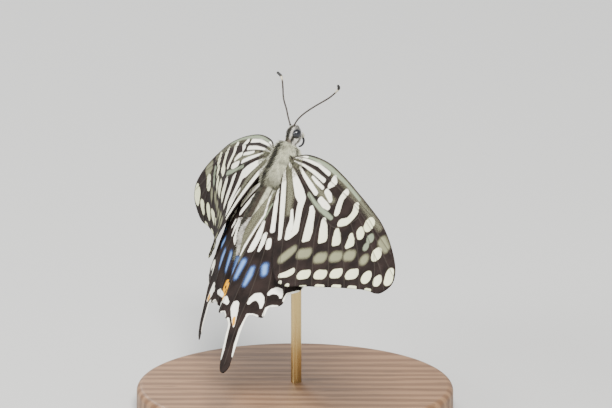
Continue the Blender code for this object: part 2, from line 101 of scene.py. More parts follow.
# Eyes, feelers, palps, tongue and legs: their curves on the right side or the middle
EYE_CENTRE = (1.22, 6.68, 1.83)
EYE_RADII = (0.72, 0.92, 0.86)
FEELER = [(0.7, 7.8, 2.9), (2.0, 9.08, 3.43), (3.66, 10.47, 3.67), (6.37, 12.27, 3.79), (9.09, 14.34, 3.56),
          (10.41, 15.55, 3.59), (11.24, 16.31, 3.76), (11.7, 16.68, 4.03), (12.2, 16.89, 4.71)]
SHAFT_RADIUS = 0.17
CLUB_RADIUS = 0.29
CLUB_START = 0.69
CLUB_LENGTH = 0.37
ROOT_SWELL = 1.6
TIP_TAPER = 0.5
PALP = [(0.6, 6.85, -0.1), (0.6, 7.3, 0.1), (0.5, 7.6, 0.55)]
PALP_GIRTH = [0.14, 0.2, 0.19, 0.06]
TONGUE = [(0.0, 6.9, 0.3), (0.0, 7.06, -0.1), (0.0, 6.63, -0.77), (0.0, 5.94, -1.0), (0.0, 5.33, -0.8),
          (0.0, 5.1, -0.45)]
TONGUE_GIRTH = [0.23, 0.23, 0.22, 0.2, 0.14]
LEGS = {
    "front": [(0.9, 2.9, -2.95), (1.35, 3.3, -4.3), (1.3, 1.4, -5.2), (1.25, -0.6, -5.7)],
    "middle": [(1.75, 0.6, -3.45), (3.1, 0.9, -4.6), (3.5, -2.6, -5.6), (2.8, -6.9, -5.2)],
    "hind": [(1.55, -1.7, -3.28), (2.5, -2.6, -4.15), (2.7, -6.6, -3.6), (2.0, -11.6, -2.7)],
}
LEG_GIRTH = [0.42, 0.38, 0.24, 0.2]
BEFORE_BEND = 0.22
AFTER_BEND = 0.12

# Wings: hinge, and the attitude of each as in the frame
FORE_HINGE = (2.2, 2.0, 1.7)
HIND_HINGE = (2.2, -1.8, 0.5)
# Which way each wing reaches on the flat, in degrees
FORE_SPAN = 38.0
HIND_SPAN = -62.0
# Dihedral, twist and sweep in degrees. Then for each millimetre the bend across, and past its
# turn, the bend along, and past its turn, the warp, and the warp that grows outwards.
ATTITUDE = {
    "forewing_right": (-7.0, 2.2, -57.2, -0.008, -0.008, 0.0, 0.0, 0.0, 0.0),
    "forewing_left": (-1.4, -3.8, -45.6, 0.0532, -0.0291, 0.0133, -0.0154, 0.0074, 0.000177),
    "hindwing_right": (-12.0, -6.0, -3.0, 0.03, 0.03, 0.003, 0.003, 0.0, 0.0),
    "hindwing_left": (-2.7, 7.6, 15.6, 0.0403, -0.0276, 0.0119, 0.0119, -0.0054, 0.000014),
}
FORE_TURN = -4.0
HIND_TURN = 6.0
ALONG_TURN = 34.0
# The hindwing's inner edge curls up past this line, and down near its tail
FOLD_LINE = [(-28.5, 4.4), (-24.0, 3.3), (-17.0, 2.2), (-13.0, 2.4), (-9.0, 2.5), (-5.0, 2.0), (-1.0, 0.4)]
FOLD_UP = 0.5
FOLD_DOWN = -0.36
FOLD_TURNS = (-10.0, -19.0)
LEAST_CURL = 0.001

FORE_OUTLINE = [
    (-0.6, 0.3), (0.6, 1.4), (2.0, 5.8), (6.1, 11.5), (11.1, 16.1), (16.2, 20.1), (21.1, 23.8), (26.0, 27.2),
    (31.0, 29.7), (36.0, 31.4), (39.2, 31.8), (41.2, 31.0), (41.9, 28.6), (41.4, 26.8),
    (40.0, 24.8), (38.5, 21.9), (37.2, 19.0), (35.9, 16.0), (34.8, 13.2), (33.5, 10.1),
    (32.4, 7.3), (31.4, 4.3), (30.2, 2.2), (28.2, 0.4), (24.5, -0.9), (18.0, -1.4),
    (11.0, -1.5), (6.5, -1.5), (4.0, -1.2), (2.6, -0.4), (1.4, 0.3)]
FORE_VEINS = {
    "Sc": [(0.9, 1.9), (3.2, 6.2), (7.4, 11.2), (14.0, 17.0), (20.4, 22.0), (25.4, 26.2)],
    "R": [(1.1, 1.2), (4.6, 6.0), (9.0, 10.8), (14.6, 16.0), (20.9, 21.0)],
    "R2": [(14.6, 16.0), (21.0, 21.9), (27.5, 26.0), (34.2, 30.4)],
    "R3": [(20.9, 21.0), (26.6, 24.7), (32.6, 27.8), (39.4, 31.4)],
    "R4": [(22.2, 20.8), (27.5, 23.6), (32.0, 25.7), (36.6, 27.8), (41.6, 29.2)],
    "R5": [(32.0, 25.7), (36.6, 26.3), (40.8, 26.1)],
    "M1": [(22.6, 18.8), (28.0, 20.8), (33.4, 21.9), (38.7, 22.6)],
    "M2": [(22.5, 15.8), (27.2, 17.0), (32.0, 18.0), (36.9, 18.6)],
    "M3": [(21.0, 13.4), (25.4, 13.3), (30.2, 13.9), (35.1, 14.4)],
    "Cu": [(1.6, 0.9), (5.5, 3.6), (10.0, 6.2), (13.2, 7.7), (17.3, 10.4), (21.0, 13.4),
           (22.5, 15.8), (22.6, 18.8), (22.2, 20.8), (20.9, 21.0)],
    "CuA1": [(17.3, 10.4), (22.0, 9.4), (27.6, 9.6), (33.4, 10.1)],
    "CuA2": [(13.2, 7.7), (17.2, 6.1), (22.0, 5.5), (27.0, 5.6), (31.8, 5.8)],
    "2A": [(2.6, 0.2), (8.0, 0.8), (14.0, 1.2), (20.0, 1.1), (26.0, 1.2), (30.0, 1.9)],
}
HIND_OUTLINE = [
    (1.6, 0.9), (5.5, 1.2), (11.0, 1.0), (16.0, -0.2), (19.6, -2.4), (21.9, -5.6), (22.6, -9.0),
    (22.3, -12.2), (22.0, -14.6), (20.9, -16.2), (20.6, -18.6), (19.0, -20.3), (19.2, -22.3),
    (18.4, -23.3), (16.9, -24.2), (17.1, -26.2), (15.4, -26.7), (13.3, -27.2), (13.6, -30.0),
    (14.5, -33.0), (15.4, -36.0), (15.8, -37.6), (15.0, -38.9), (13.5, -38.6), (12.3, -37.0),
    (11.3, -35.0), (10.2, -32.8), (9.2, -30.4), (8.2, -29.5), (7.0, -29.1), (5.8, -28.3),
    (4.4, -28.6), (2.7, -28.3), (1.2, -27.2), (0.1, -24.6), (-0.6, -21.0), (-0.9, -17.0),
    (-0.8, -13.0), (-0.1, -9.0), (0.2, -5.5), (0.6, -3.2), (0.9, -1.6), (-0.4, -0.4)]
HIND_VEINS = {
    "2A": [(1.4, -2.6), (1.2, -7.5), (0.9, -13.0), (0.8, -18.0), (1.2, -23.0), (1.8, -27.4)],
    "Cu": [(1.5, -1.5), (2.1, -4.5), (2.7, -7.8), (4.0, -10.4), (6.3, -11.7), (8.7, -11.2),
           (9.6, -8.7), (8.2, -5.6), (4.8, -2.6), (2.0, -0.9)],
    "CuA2": [(2.7, -7.8), (2.7, -12.5), (2.7, -18.0), (3.6, -24.0), (4.4, -28.4)],
    "CuA1": [(4.0, -10.4), (5.1, -14.5), (6.3, -20.0), (7.2, -25.0), (7.8, -29.2)],
    "M3": [(6.3, -11.7), (8.6, -17.0), (10.6, -23.0), (11.7, -28.5), (12.9, -33.0), (14.2, -37.2)],
    "M2": [(8.7, -11.2), (11.6, -16.0), (14.5, -21.4), (17.0, -26.0)],
    "M1": [(9.6, -8.7), (13.5, -13.2), (16.6, -17.8), (19.0, -22.1)],
    "Rs": [(8.2, -5.6), (13.4, -9.0), (17.5, -12.6), (20.8, -16.4)],
    "ScR1": [(2.2, -0.1), (7.0, -1.4), (12.5, -2.6), (17.8, -5.4), (22.2, -10.0)],
}

# Wing marks: each stroke is a run of (x, y, half width) on the flat wing
FORE_DISCAL = [
    [(-0.1, 0.9, 0.24), (1.1, 3.4, 0.3), (2.5, 5.6, 0.25)],
    [(1.1, 2.1, 0.15), (3.1, 5.5, 0.25), (5.6, 8.9, 0.38), (8.8, 11.9, 0.46)],
    [(1.9, 2.0, 0.12), (4.0, 4.8, 0.24), (6.6, 7.6, 0.36), (9.8, 10.6, 0.44)],
    [(3.9, 3.6, 0.2), (6.5, 5.1, 0.36), (9.4, 7.0, 0.48), (11.8, 8.6, 0.45)],
    [(7.5, 7.2, 0.24), (9.1, 8.4, 0.36), (11.3, 10.3, 0.34)],
    [(13.6, 9.8, 0.6), (15.3, 11.1, 0.7), (16.5, 12.2, 0.48)],
    [(10.6, 13.4, 0.75), (11.6, 13.6, 0.65), (11.5, 12.3, 0.65)],
    [(12.4, 11.3, 0.52), (13.8, 12.2, 0.66), (15.1, 12.7, 0.42)],
    [(15.2, 16.9, 0.9), (15.8, 15.7, 0.75), (17.1, 15.1, 0.78), (18.5, 14.7, 0.78)],
    [(19.3, 20.0, 0.75), (20.4, 19.8, 0.95), (21.1, 19.0, 0.88), (21.8, 17.7, 0.88), (21.3, 15.9, 0.82)],
    [(0.7, 0.1, 0.17), (2.8, 1.1, 0.36)],
    [(3.5, 1.6, 0.24), (6.7, 2.8, 0.78), (9.8, 4.0, 1.16), (11.7, 4.9, 0.97), (13.5, 4.4, 0.82),
     (15.9, 4.2, 0.73), (18.4, 3.9, 0.87), (19.6, 2.1, 0.34)],
    [(13.1, 2.4, 0.29), (15.3, 2.6, 0.43), (17.2, 2.4, 0.82), (19.2, 1.9, 0.48)],
    [(14.6, 7.7, 0.44), (16.0, 7.9, 0.82), (18.1, 7.6, 0.97), (20.2, 7.4, 1.16), (21.4, 7.1, 1.05)],
    [(19.0, 11.3, 0.63), (20.7, 11.4, 1.0), (23.2, 11.5, 1.2)],
    [(23.0, 15.1, 0.73), (24.2, 15.2, 1.1), (25.3, 15.3, 1.2)],
    [(25.5, 19.0, 0.63), (26.7, 19.0, 1.05), (27.3, 18.9, 1.2)],
    [(0.9, -0.7, 0.19), (3.8, -0.5, 0.34), (6.0, -0.4, 0.58), (10.6, -0.2, 0.63), (15.1, 0.0, 0.58),
     (18.8, 0.1, 0.43)],
]
FORE_PALE = [
    [(25.4, 21.4, 0.9), (26.4, 21.7, 0.95)],
    [(25.0, 23.9, 1.5)],
    [(32.6, 26.4, 1.45)],
    [(27.9, 1.6, 0.5), (28.0, 3.3, 0.75), (27.9, 4.4, 0.75)],
    [(29.6, 6.9, 1.0), (30.0, 8.4, 0.95)],
    [(31.1, 11.2, 1.0), (31.7, 12.7, 0.95)],
    [(32.5, 15.4, 1.0), (32.9, 16.7, 1.0)],
    [(34.3, 19.6, 1.1), (34.7, 21.0, 1.05)],
    [(36.7, 24.1, 1.35)],
    [(38.7, 27.2, 1.2)],
    [(38.4, 30.3, 1.15), (39.7, 30.2, 1.25)],
    [(29.6, 1.7, 0.5)],
    [(31.0, 3.6, 0.6)],
    [(32.6, 7.0, 0.5), (33.0, 8.2, 0.5)],
    [(33.9, 11.2, 0.5), (34.6, 12.8, 0.5)],
    [(35.6, 15.6, 0.5), (36.3, 17.2, 0.5)],
    [(37.4, 19.8, 0.48), (38.1, 21.3, 0.48)],
    [(39.6, 24.2, 0.4), (40.2, 25.3, 0.4)],
]
FORE_FAINT = [
    [(11.1, 6.6, 0.34), (13.8, 8.4, 0.39), (16.0, 10.2, 0.44), (17.8, 11.9, 0.49), (19.3, 13.3, 0.39)],
    [(28.3, 24.4, 1.05)],
    [(29.6, 23.3, 0.85)],
    [(2.0, 4.9, 0.3), (3.7, 7.4, 0.42), (6.0, 10.4, 0.5), (8.9, 13.3, 0.55), (12.0, 16.2, 0.5),
     (14.2, 17.9, 0.4), (18.4, 20.9, 0.3)],
]
FORE_POST = [
    [(23.9, 1.4, 0.8), (23.2, 2.8, 0.87), (22.7, 4.0, 0.7)],
    [(24.5, 6.1, 0.9), (25.0, 7.9, 0.9)],
    [(27.2, 10.8, 0.95), (27.6, 12.1, 0.9)],
    [(28.5, 14.9, 0.95), (29.0, 16.3, 0.85)],
    [(29.7, 18.6, 0.95), (30.1, 19.7, 0.9)],
    [(32.4, 23.1, 0.95)],
    [(30.3, 27.7, 0.95), (32.4, 29.0, 0.7)],
]
FORE_DUST = [
    [(2.4, 0.3, 0.4), (6.0, 1.2, 0.9), (10.0, 1.6, 0.9), (13.5, 1.6, 0.6)],
    [(4.6, 8.9, 0.6), (12.0, 16.2, 0.9), (20.0, 22.1, 0.8), (27.0, 26.9, 0.6)],
    [(6.0, 5.6, 0.5), (12.0, 9.6, 0.6), (15.5, 13.4, 0.5)],
]
# Outer ends of the long marks lie on this line, as x at each y
DISCAL_LIMIT = [(-2.0, 19.2), (0.2, 19.0), (1.7, 19.8), (4.2, 19.7), (6.0, 21.9), (8.6, 22.2), (10.2, 23.8),
                (12.8, 24.2), (14.2, 25.9), (16.6, 26.4), (17.8, 28.0), (20.2, 28.0), (22.5, 60.0)]

HIND_PALE = [
    [(0.7, -2.1, 0.2), (3.0, -5.6, 0.5), (6.2, -10.2, 0.68)],
    [(3.2, -3.2, 0.4), (6.2, -6.0, 0.9), (8.1, -8.8, 0.8)],
    [(-0.1, -2.8, 0.12), (1.8, -8.2, 0.17), (1.6, -12.4, 0.2), (1.3, -15.2, 0.3), (1.3, -17.0, 0.2)],
    [(2.7, -9.6, 0.4), (3.8, -12.7, 0.9), (3.8, -14.9, 0.85), (3.3, -15.7, 0.32)],
    [(5.2, -11.7, 0.55), (5.8, -13.5, 0.55), (6.0, -14.9, 0.32)],
    [(7.1, -12.5, 0.6), (7.8, -13.6, 0.58)],
    [(9.8, -10.8, 0.55), (11.9, -13.4, 0.7)],
    [(10.4, -7.9, 0.6), (14.6, -11.0, 0.8)],
    [(8.8, -4.3, 0.7), (15.6, -7.4, 0.9)],
    [(3.4, -0.5, 0.3), (9.0, -0.6, 0.6), (15.0, -1.8, 0.6)],
    [(3.3, -26.0, 0.55), (4.1, -25.9, 0.7), (5.3, -26.3, 0.42)],
    [(8.2, -26.4, 1.05), (9.2, -27.7, 0.88), (10.2, -29.0, 0.55), (11.0, -30.0, 0.22)],
    [(11.6, -24.8, 0.4), (11.7, -24.0, 0.62), (12.2, -23.3, 0.76), (13.1, -23.0, 0.82), (14.0, -23.3, 0.78),
     (14.7, -23.9, 0.6), (15.1, -24.6, 0.36)],
    [(15.0, -21.7, 0.36), (15.3, -21.0, 0.56), (16.0, -20.5, 0.72), (16.9, -20.4, 0.7), (17.6, -20.8, 0.5),
     (17.9, -21.2, 0.34)],
    [(17.4, -18.0, 0.36), (18.2, -17.2, 0.55), (19.3, -17.4, 0.4)],
    [(19.0, -14.2, 0.36), (19.9, -13.4, 0.5), (20.9, -13.6, 0.36)],
    [(20.5, -10.4, 0.4), (21.0, -9.0, 0.5), (20.4, -6.9, 0.4)],
    [(1.6, -26.6, 0.5), (2.3, -26.9, 0.5)],
    [(1.4, -27.6, 0.35), (2.8, -28.3, 0.4)],
    [(4.9, -28.5, 0.36), (5.9, -28.3, 0.36), (6.8, -28.9, 0.34)],
    [(13.0, -27.1, 0.34), (14.2, -26.9, 0.5), (15.5, -26.7, 0.4)],
    [(16.9, -25.7, 0.4), (16.8, -24.4, 0.5), (17.5, -23.8, 0.5), (18.5, -23.3, 0.36)],
    [(19.1, -21.5, 0.36), (19.0, -20.3, 0.5), (19.8, -19.5, 0.45), (20.5, -18.7, 0.34)],
    [(20.7, -17.4, 0.3), (20.9, -16.3, 0.4), (21.9, -14.9, 0.35)],
    [(8.2, -29.5, 0.62), (9.2, -30.4, 0.66), (10.2, -32.8, 0.68), (11.3, -35.0, 0.62), (12.1, -36.6, 0.3)],
    [(13.4, -27.4, 0.6), (13.6, -30.0, 0.66), (14.5, -33.0, 0.66), (15.2, -35.2, 0.3)],
]
HIND_FAINT = [
    [(2.0, -5.6, 0.2), (2.3, -9.0, 0.25)],
]
HIND_DUST = [
    [(0.2, -3.6, 0.8), (1.0, -9.0, 1.2), (0.4, -15.0, 1.1), (1.6, -17.8, 0.8)],
]
HIND_BLUE = [
    [(0.9, -17.6, 0.5), (1.0, -20.4, 0.65)],
    [(3.6, -18.1, 0.95), (3.7, -19.7, 0.85), (3.8, -21.2, 0.7)],
    [(7.2, -18.7, 0.78), (7.5, -20.0, 0.95), (7.6, -21.8, 0.72)],
    [(10.0, -17.3, 0.95), (10.8, -18.4, 0.9)],
    [(13.6, -15.6, 0.75), (14.3, -16.5, 0.75)],
    [(17.0, -12.6, 0.5), (17.6, -13.4, 0.5)],
]
HIND_ORANGE = [
    [(1.8, -23.5, 1.0), (2.1, -24.9, 1.15)],
    [(9.9, -28.7, 0.5), (10.7, -29.7, 0.3)],
]
HIND_PUPIL = [[(2.3, -24.4, 0.5)]]

# Wing sheets: their mesh, their veins and their thickness
WING_STEP = 0.3
ROW_STEP = WING_STEP * 0.87
RIM_STEP = 0.22
RIM_CLEAR = RIM_STEP * 0.55
MERGE_WITHIN = 0.03
VEIN_ROWS = (-0.26, -0.13, 0.0, 0.13, 0.26)
VEIN_CLEAR = VEIN_ROWS[-1] + 0.12
VEIN_HALF = 0.24
VEIN_RISE = 0.09
HALF_SHEET = 0.07
RIM_ROUND = 0.35
SAG = 0.1
OUTSIDE = -9.0
# The front edge of a forewing is black as far in as this, above the line (slope, start)
COSTA_EDGE = 0.34
COSTA_LINE = (0.7, 1.0)

# Colours of the coat and of the scales
WHITE = (0.95, 0.92, 0.84)
IVORY = (0.76, 0.77, 0.50)
BLACK = (0.008, 0.007, 0.007)
CREAM = (0.90, 0.90, 0.70)
BROWN = (0.050, 0.036, 0.027)
OLIVE = (0.24, 0.24, 0.16)
RUST = (0.30, 0.15, 0.06)
GROUND_UPPER = ((0.007, 0.004, 0.003), (0.018, 0.011, 0.009))
GROUND_UNDER = ((0.04, 0.033, 0.026), (0.09, 0.075, 0.055))
DUSTED = (0.25, 0.25, 0.16)
POST_UPPER = (0.22, 0.22, 0.13)
POST_UNDER = (0.62, 0.56, 0.36)
FAINT_GREEN = (0.22, 0.26, 0.175)
BLUE_RIM = (0.045, 0.10, 0.27)
BLUE_HEART = (0.15, 0.29, 0.60)
ORANGE = (0.74, 0.33, 0.0)
WHITE_SOILED = (0.50, 0.52, 0.36)
VEIN_BROWN = (0.035, 0.028, 0.022)
# Painted shade: hair darkens towards its root, where the coat shades it
HAIR_ROOT_SHADE = (0.03, 0.027, 0.02)
# Painted shade in the gaps between clumps of hair
HAIR_GAP_SHADE = (0.09, 0.085, 0.06)
HAIR_PATCH = (0.10, 0.095, 0.065)
PALP_TONE = (0.35, 0.34, 0.27)


class Value:
    """One output of a node; arithmetic on it adds Math nodes."""

    def __init__(self, graph, socket):
        self.graph = graph
        self.socket = socket

    def math(self, operation, first, second):
        return self.graph.node("ShaderNodeMath", {"operation": operation}, {0: first, 1: second})

    def __add__(self, other):
        return self.math("ADD", self, other)

    def __radd__(self, other):
        return self.math("ADD", other, self)

    def __sub__(self, other):
        return self.math("SUBTRACT", self, other)

    def __rsub__(self, other):
        return self.math("SUBTRACT", other, self)

    def __mul__(self, other):
        return self.math("MULTIPLY", self, other)

    def __rmul__(self, other):
        return self.math("MULTIPLY", other, self)


class Graph:
    """Adds nodes to one tree; a socket takes a plain value or another node's Value."""

    def __init__(self, tree):
        self.tree = tree

    def node(self, kind, settings=None, sockets=None, out=0):
        made = self.tree.nodes.new(kind)
        for key, value in (settings or {}).items():
            setattr(made, key, value)
        for key, value in (sockets or {}).items():
            if isinstance(value, Value):
                self.tree.links.new(value.socket, made.inputs[key])
            else:
                made.inputs[key].default_value = value
        return Value(self, made.outputs[out])

    def attribute(self, name, out="Fac"):
        return self.node("ShaderNodeAttribute", {"attribute_name": name}, out=out)

    def noise(self, vector, scale, detail=2.0):
        return self.node("ShaderNodeTexNoise", None,
                         {"Vector": vector, "Scale": scale, "Detail": detail})

    def smooth(self, value, low, high):
        return self.node("ShaderNodeMapRange", {"interpolation_type": "SMOOTHSTEP"},
                         {"Value": value, "From Min": low, "From Max": high})

    def mix(self, factor, first, second):
        a, b = ((*c, 1.0) if isinstance(c, tuple) else c for c in (first, second))
        return self.node("ShaderNodeMix", {"data_type": "RGBA"}, {0: factor, 6: a, 7: b}, out=2)

    def bump(self, height, distance, strength):
        return self.node("ShaderNodeBump", None,
                         {"Height": height, "Distance": distance, "Strength": strength})

    def object_place(self):
        return self.node("ShaderNodeTexCoord", out="Object")

    def stretched(self, scale):
        """The object's own place, stretched along its axes."""
        return self.node("ShaderNodeMapping", None, {"Vector": self.object_place(), "Scale": scale})

    def named(self, name, kind="FLOAT"):
        return self.node("GeometryNodeInputNamedAttribute", {"data_type": kind}, {"Name": name})

    def keep(self, geometry, name, kind, value, domain="POINT"):
        return self.node("GeometryNodeStoreNamedAttribute", {"data_type": kind, "domain": domain},
                         {"Geometry": geometry, "Name": name, "Value": value})

    def vector(self, operation, *parts, out=0, **sockets):
        return self.node("ShaderNodeVectorMath", {"operation": operation},
                         {**dict(enumerate(parts)), **sockets}, out)

    def combined(self, **sockets):
        return self.node("ShaderNodeCombineXYZ", None, sockets)

    def aimed(self, axis, pivot="AUTO", **sockets):
        return self.node("FunctionNodeAlignRotationToVector", {"axis": axis, "pivot_axis": pivot}, sockets)

    def dressed(self, geometry, finish):
        return self.node("GeometryNodeSetMaterial", None, {"Geometry": geometry, "Material": finish})


def new_material(name, **constants):
    """A Principled material with constants on its sockets, then its graph and its shader."""
    material = bpy.data.materials.new(name)
    material.use_nodes = True
    shader = material.node_tree.nodes["Principled BSDF"]
    for key, value in constants.items():
        shader.inputs[key.replace("_", " ")].default_value = value
    return material, Graph(material.node_tree), shader


def feed(graph, shader, **values):
    """Links computed values to a shader's sockets."""
    for key, value in values.items():
        graph.tree.links.new(value.socket, shader.inputs[key.replace("_", " ")])


def body_turn():
    return (Matrix.Rotation(radians(HEADING - 90), 3, "Z") @ Matrix.Rotation(radians(PITCH), 3, "X")
            @ Matrix.Rotation(radians(-ROLL), 3, "Y"))


TURN = np.array(body_turn())


def to_world(points):
    """Body points in millimetres, as points over the stand in metres."""
    return (np.asarray(points, float) @ TURN.T + np.array(THORAX_PLACE)) * MM


def turn_only(vectors):
    """Body directions, as directions over the stand."""
    return np.asarray(vectors, float) @ TURN.T


def link_object(name, data):
    made = bpy.data.objects.new(name, data)
    bpy.context.scene.collection.objects.link(made)
    return made


def drop_object(made):
    bpy.data.objects.remove(made, do_unlink=True)


def add_mesh(name, vertices, faces, materials, smooth=True):
    """A mesh object at the origin; its vertices come in metres."""
    mesh = bpy.data.meshes.new(name)
    faces = faces.tolist() if isinstance(faces, np.ndarray) else faces
    mesh.from_pydata(np.asarray(vertices).tolist(), [], faces)
    for material in materials:
        mesh.materials.append(material)
    if smooth:
        mesh.shade_smooth()
    return link_object(name, mesh)


def ring_quads(rings, sides, first=0, anticlockwise=False):
    """Outward quads between rings of points that turn clockwise, or not, about the way they go."""
    quads = []
    for ring in range(rings - 1):
        for i in range(sides):
            a = first + ring * sides + i
            b = first + ring * sides + (i + 1) % sides
            quads.append((a, b, b + sides, a + sides) if anticlockwise else (a, a + sides, b + sides, b))
    return quads


def store(mesh, name, kind, values):
    """Keeps one value for each point of a mesh under a name."""
    made = mesh.attributes.new(name, kind, "POINT")
    field = {"FLOAT": "value", "FLOAT_VECTOR": "vector", "FLOAT_COLOR": "color"}[kind]
    made.data.foreach_set(field, np.asarray(values, np.float32).ravel())


def store_colour(mesh, colour):
    """One tone for all points of a mesh."""
    store(mesh, "tone", "FLOAT_COLOR", np.tile((*colour, 1.0), (len(mesh.vertices), 1)))


def corner_points(mesh):
    """The point at each face corner."""
    points = np.zeros(len(mesh.loops), np.int32)
    mesh.loops.foreach_get("vertex_index", points)
    return points


def finish_piece(piece, slot, *nodes):
    """Puts a piece on the frame's body and hides the nodes that it replaces. Its slot is not used."""
    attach(piece, "root")
    if nodes:
        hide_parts(*nodes)


def soft_step(x, low, high):
    """Rises smoothly from 0 at low to 1 at high."""
    t = np.clip((np.asarray(x, float) - low) / (high - low), 0, 1)
    return t * t * (3 - 2 * t)


def smooth_between(a, b, c, d, f):
    """Points of a Catmull-Rom curve at the share f of the way from b to c."""
    return 0.5 * (2 * b + (c - a) * f + (2 * a - 5 * b + 4 * c - d) * f ** 2
                  + (3 * b - a - 3 * c + d) * f ** 3)


def curve_rows(points, ts):
    """Catmull-Rom curve through rows of any width, at each t from 0 to 1."""
    rows = np.asarray(points, float)
    last = len(rows) - 1
    at = np.clip(np.asarray(ts, float) * last, 0, last - 1e-9)
    i = at.astype(int)
    return smooth_between(rows[np.maximum(i - 1, 0)], rows[i], rows[i + 1], rows[np.minimum(i + 2, last)],
                          (at - i)[:, None])


def closed_curve(points, step):
    """Smooth closed curve through points, with a point about every step."""
    rows = np.asarray(points, float)
    count = len(rows)
    made = []
    for i in range(count):
        near = rows[[(i - 1) % count, i, (i + 1) % count, (i + 2) % count]]
        parts = max(1, round(np.hypot(*(near[2] - near[1])) / step))
        made.append(smooth_between(*near, (np.arange(parts) / parts)[:, None]))
    return np.concatenate(made)


def arc(width, curve):
    """Lengths laid round an arc: how far they reach, and how far they drop."""
    if abs(curve) < 1e-6:
        return width, np.zeros_like(width)
    return np.sin(curve * width) / curve, -(1 - np.cos(curve * width)) / curve


def bend(width, curve, turn, curve_past):
    """Lengths laid round two arcs that meet smoothly at turn."""
    near = np.minimum(width, turn) if turn > 0 else np.maximum(width, turn)
    reach, drop = arc(near, curve)
    more, fall = arc(width - near, curve_past)
    slope = curve * turn
    return reach + cos(slope) * more + sin(slope) * fall, drop - sin(slope) * more + cos(slope) * fall


def wing_surface(name, flat):
    """Points of the flat wing, bent and set on their hinge, in the body's frame."""
    dihedral, twist, sweep, across, across_past, along, along_past, warp, tip_warp = ATTITUDE[name]
    fore = name.startswith("fore")
    side = 1 if name.endswith("right") else -1
    x, y = np.array(flat[:, 0], float), np.array(flat[:, 1], float)
    lift = np.zeros_like(x)
    if not fore:
        ys, xs = zip(*FOLD_LINE)
        start = np.interp(y, ys, xs)
        curl = FOLD_UP + (FOLD_DOWN - FOLD_UP) * soft_step(y, *FOLD_TURNS)
        curl = np.where(np.abs(curl) > LEAST_CURL, curl, LEAST_CURL)
        past = np.clip(start - x, 0, None)
        x = np.where(past > 0, start - np.sin(curl * past) / curl, x)
        lift = (1 - np.cos(curl * past)) / curl
    span = radians(FORE_SPAN if fore else HIND_SPAN)
    out, up = np.array((cos(span), sin(span))), np.array((-sin(span), cos(span)))
    w0, w1 = x * out[0] + y * out[1], x * up[0] + y * up[1]
    c0, z0 = bend(w0, along, ALONG_TURN, along_past)
    c1, z1 = bend(w1, across, FORE_TURN if fore else HIND_TURN, across_past)
    height = z0 + z1 + lift + (warp + tip_warp * w0) * w0 * w1
    laid = np.stack([c0 * out[0] + c1 * up[0], c0 * out[1] + c1 * up[1], height], 1)
    turn = (Matrix.Rotation(radians(-dihedral), 3, "Y") @ Matrix.Rotation(radians(twist), 3, "X")
            @ Matrix.Rotation(radians(sweep), 3, "Z"))
    placed = laid @ np.array(turn).T + np.array(FORE_HINGE if fore else HIND_HINGE)
    placed[:, 0] *= side
    return placed


def wing_normal(name, flat):
    """Unit normals on the upper side of a wing."""
    u = wing_surface(name, flat + (0.05, 0)) - wing_surface(name, flat - (0.05, 0))
    w = wing_surface(name, flat + (0, 0.05)) - wing_surface(name, flat - (0, 0.05))
    normal = np.cross(u, w) * (1 if name.endswith("right") else -1)
    return normal / np.linalg.norm(normal, axis=1)[:, None]


def segment_distance(points, a, b):
    """Distance of each point from each segment, and how far along it, 0 to 1."""
    d = b - a
    length = np.maximum((d ** 2).sum(1), 1e-12)
    t = ((points[:, None, :] - a) * d).sum(2) / length
    t = np.clip(t, 0, 1)
    gap = points[:, None, :] - a - t[:, :, None] * d
    return np.sqrt((gap ** 2).sum(2)), t


def line_distance(points, lines):
    """Distance of each point from the nearest of some lines."""
    best = np.full(len(points), 99.0)
    for line in lines:
        distance, _ = segment_distance(points, line[:-1], line[1:])
        best = np.minimum(best, distance.min(1))
    return best


def stroke_field(points, strokes):
    """Millimetres inside the nearest stroke, negative outside all of them."""
    best = np.full(len(points), OUTSIDE)
    for stroke in strokes:
        rows = np.array(stroke if len(stroke) > 1 else stroke * 2, float)
        distance, t = segment_distance(points, rows[:-1, :2], rows[1:, :2])
        half = rows[:-1, 2] + (rows[1:, 2] - rows[:-1, 2]) * t
        best = np.maximum(best, (half - distance).max(1))
    return best


def inside(points, outline):
    """Whether each point is inside a closed outline."""
    a, b = outline, np.roll(outline, -1, axis=0)
    x, y = points[:, :1], points[:, 1:]
    spans = (a[:, 1] > y) != (b[:, 1] > y)
    with np.errstate(divide="ignore", invalid="ignore"):
        cross = a[:, 0] + (y - a[:, 1]) * (b[:, 0] - a[:, 0]) / (b[:, 1] - a[:, 1])
    return (np.where(spans, x < cross, False).sum(1) % 2) == 1


def vein_curves(veins):
    """Smooth curves through the veins' points, with a point about every step."""
    lines = []
    for points in veins.values():
        length = np.hypot(*np.diff(np.array(points), axis=0).T).sum()
        lines.append(curve_rows(points, np.linspace(0, 1, round(length / WING_STEP) + 1)))
    return lines


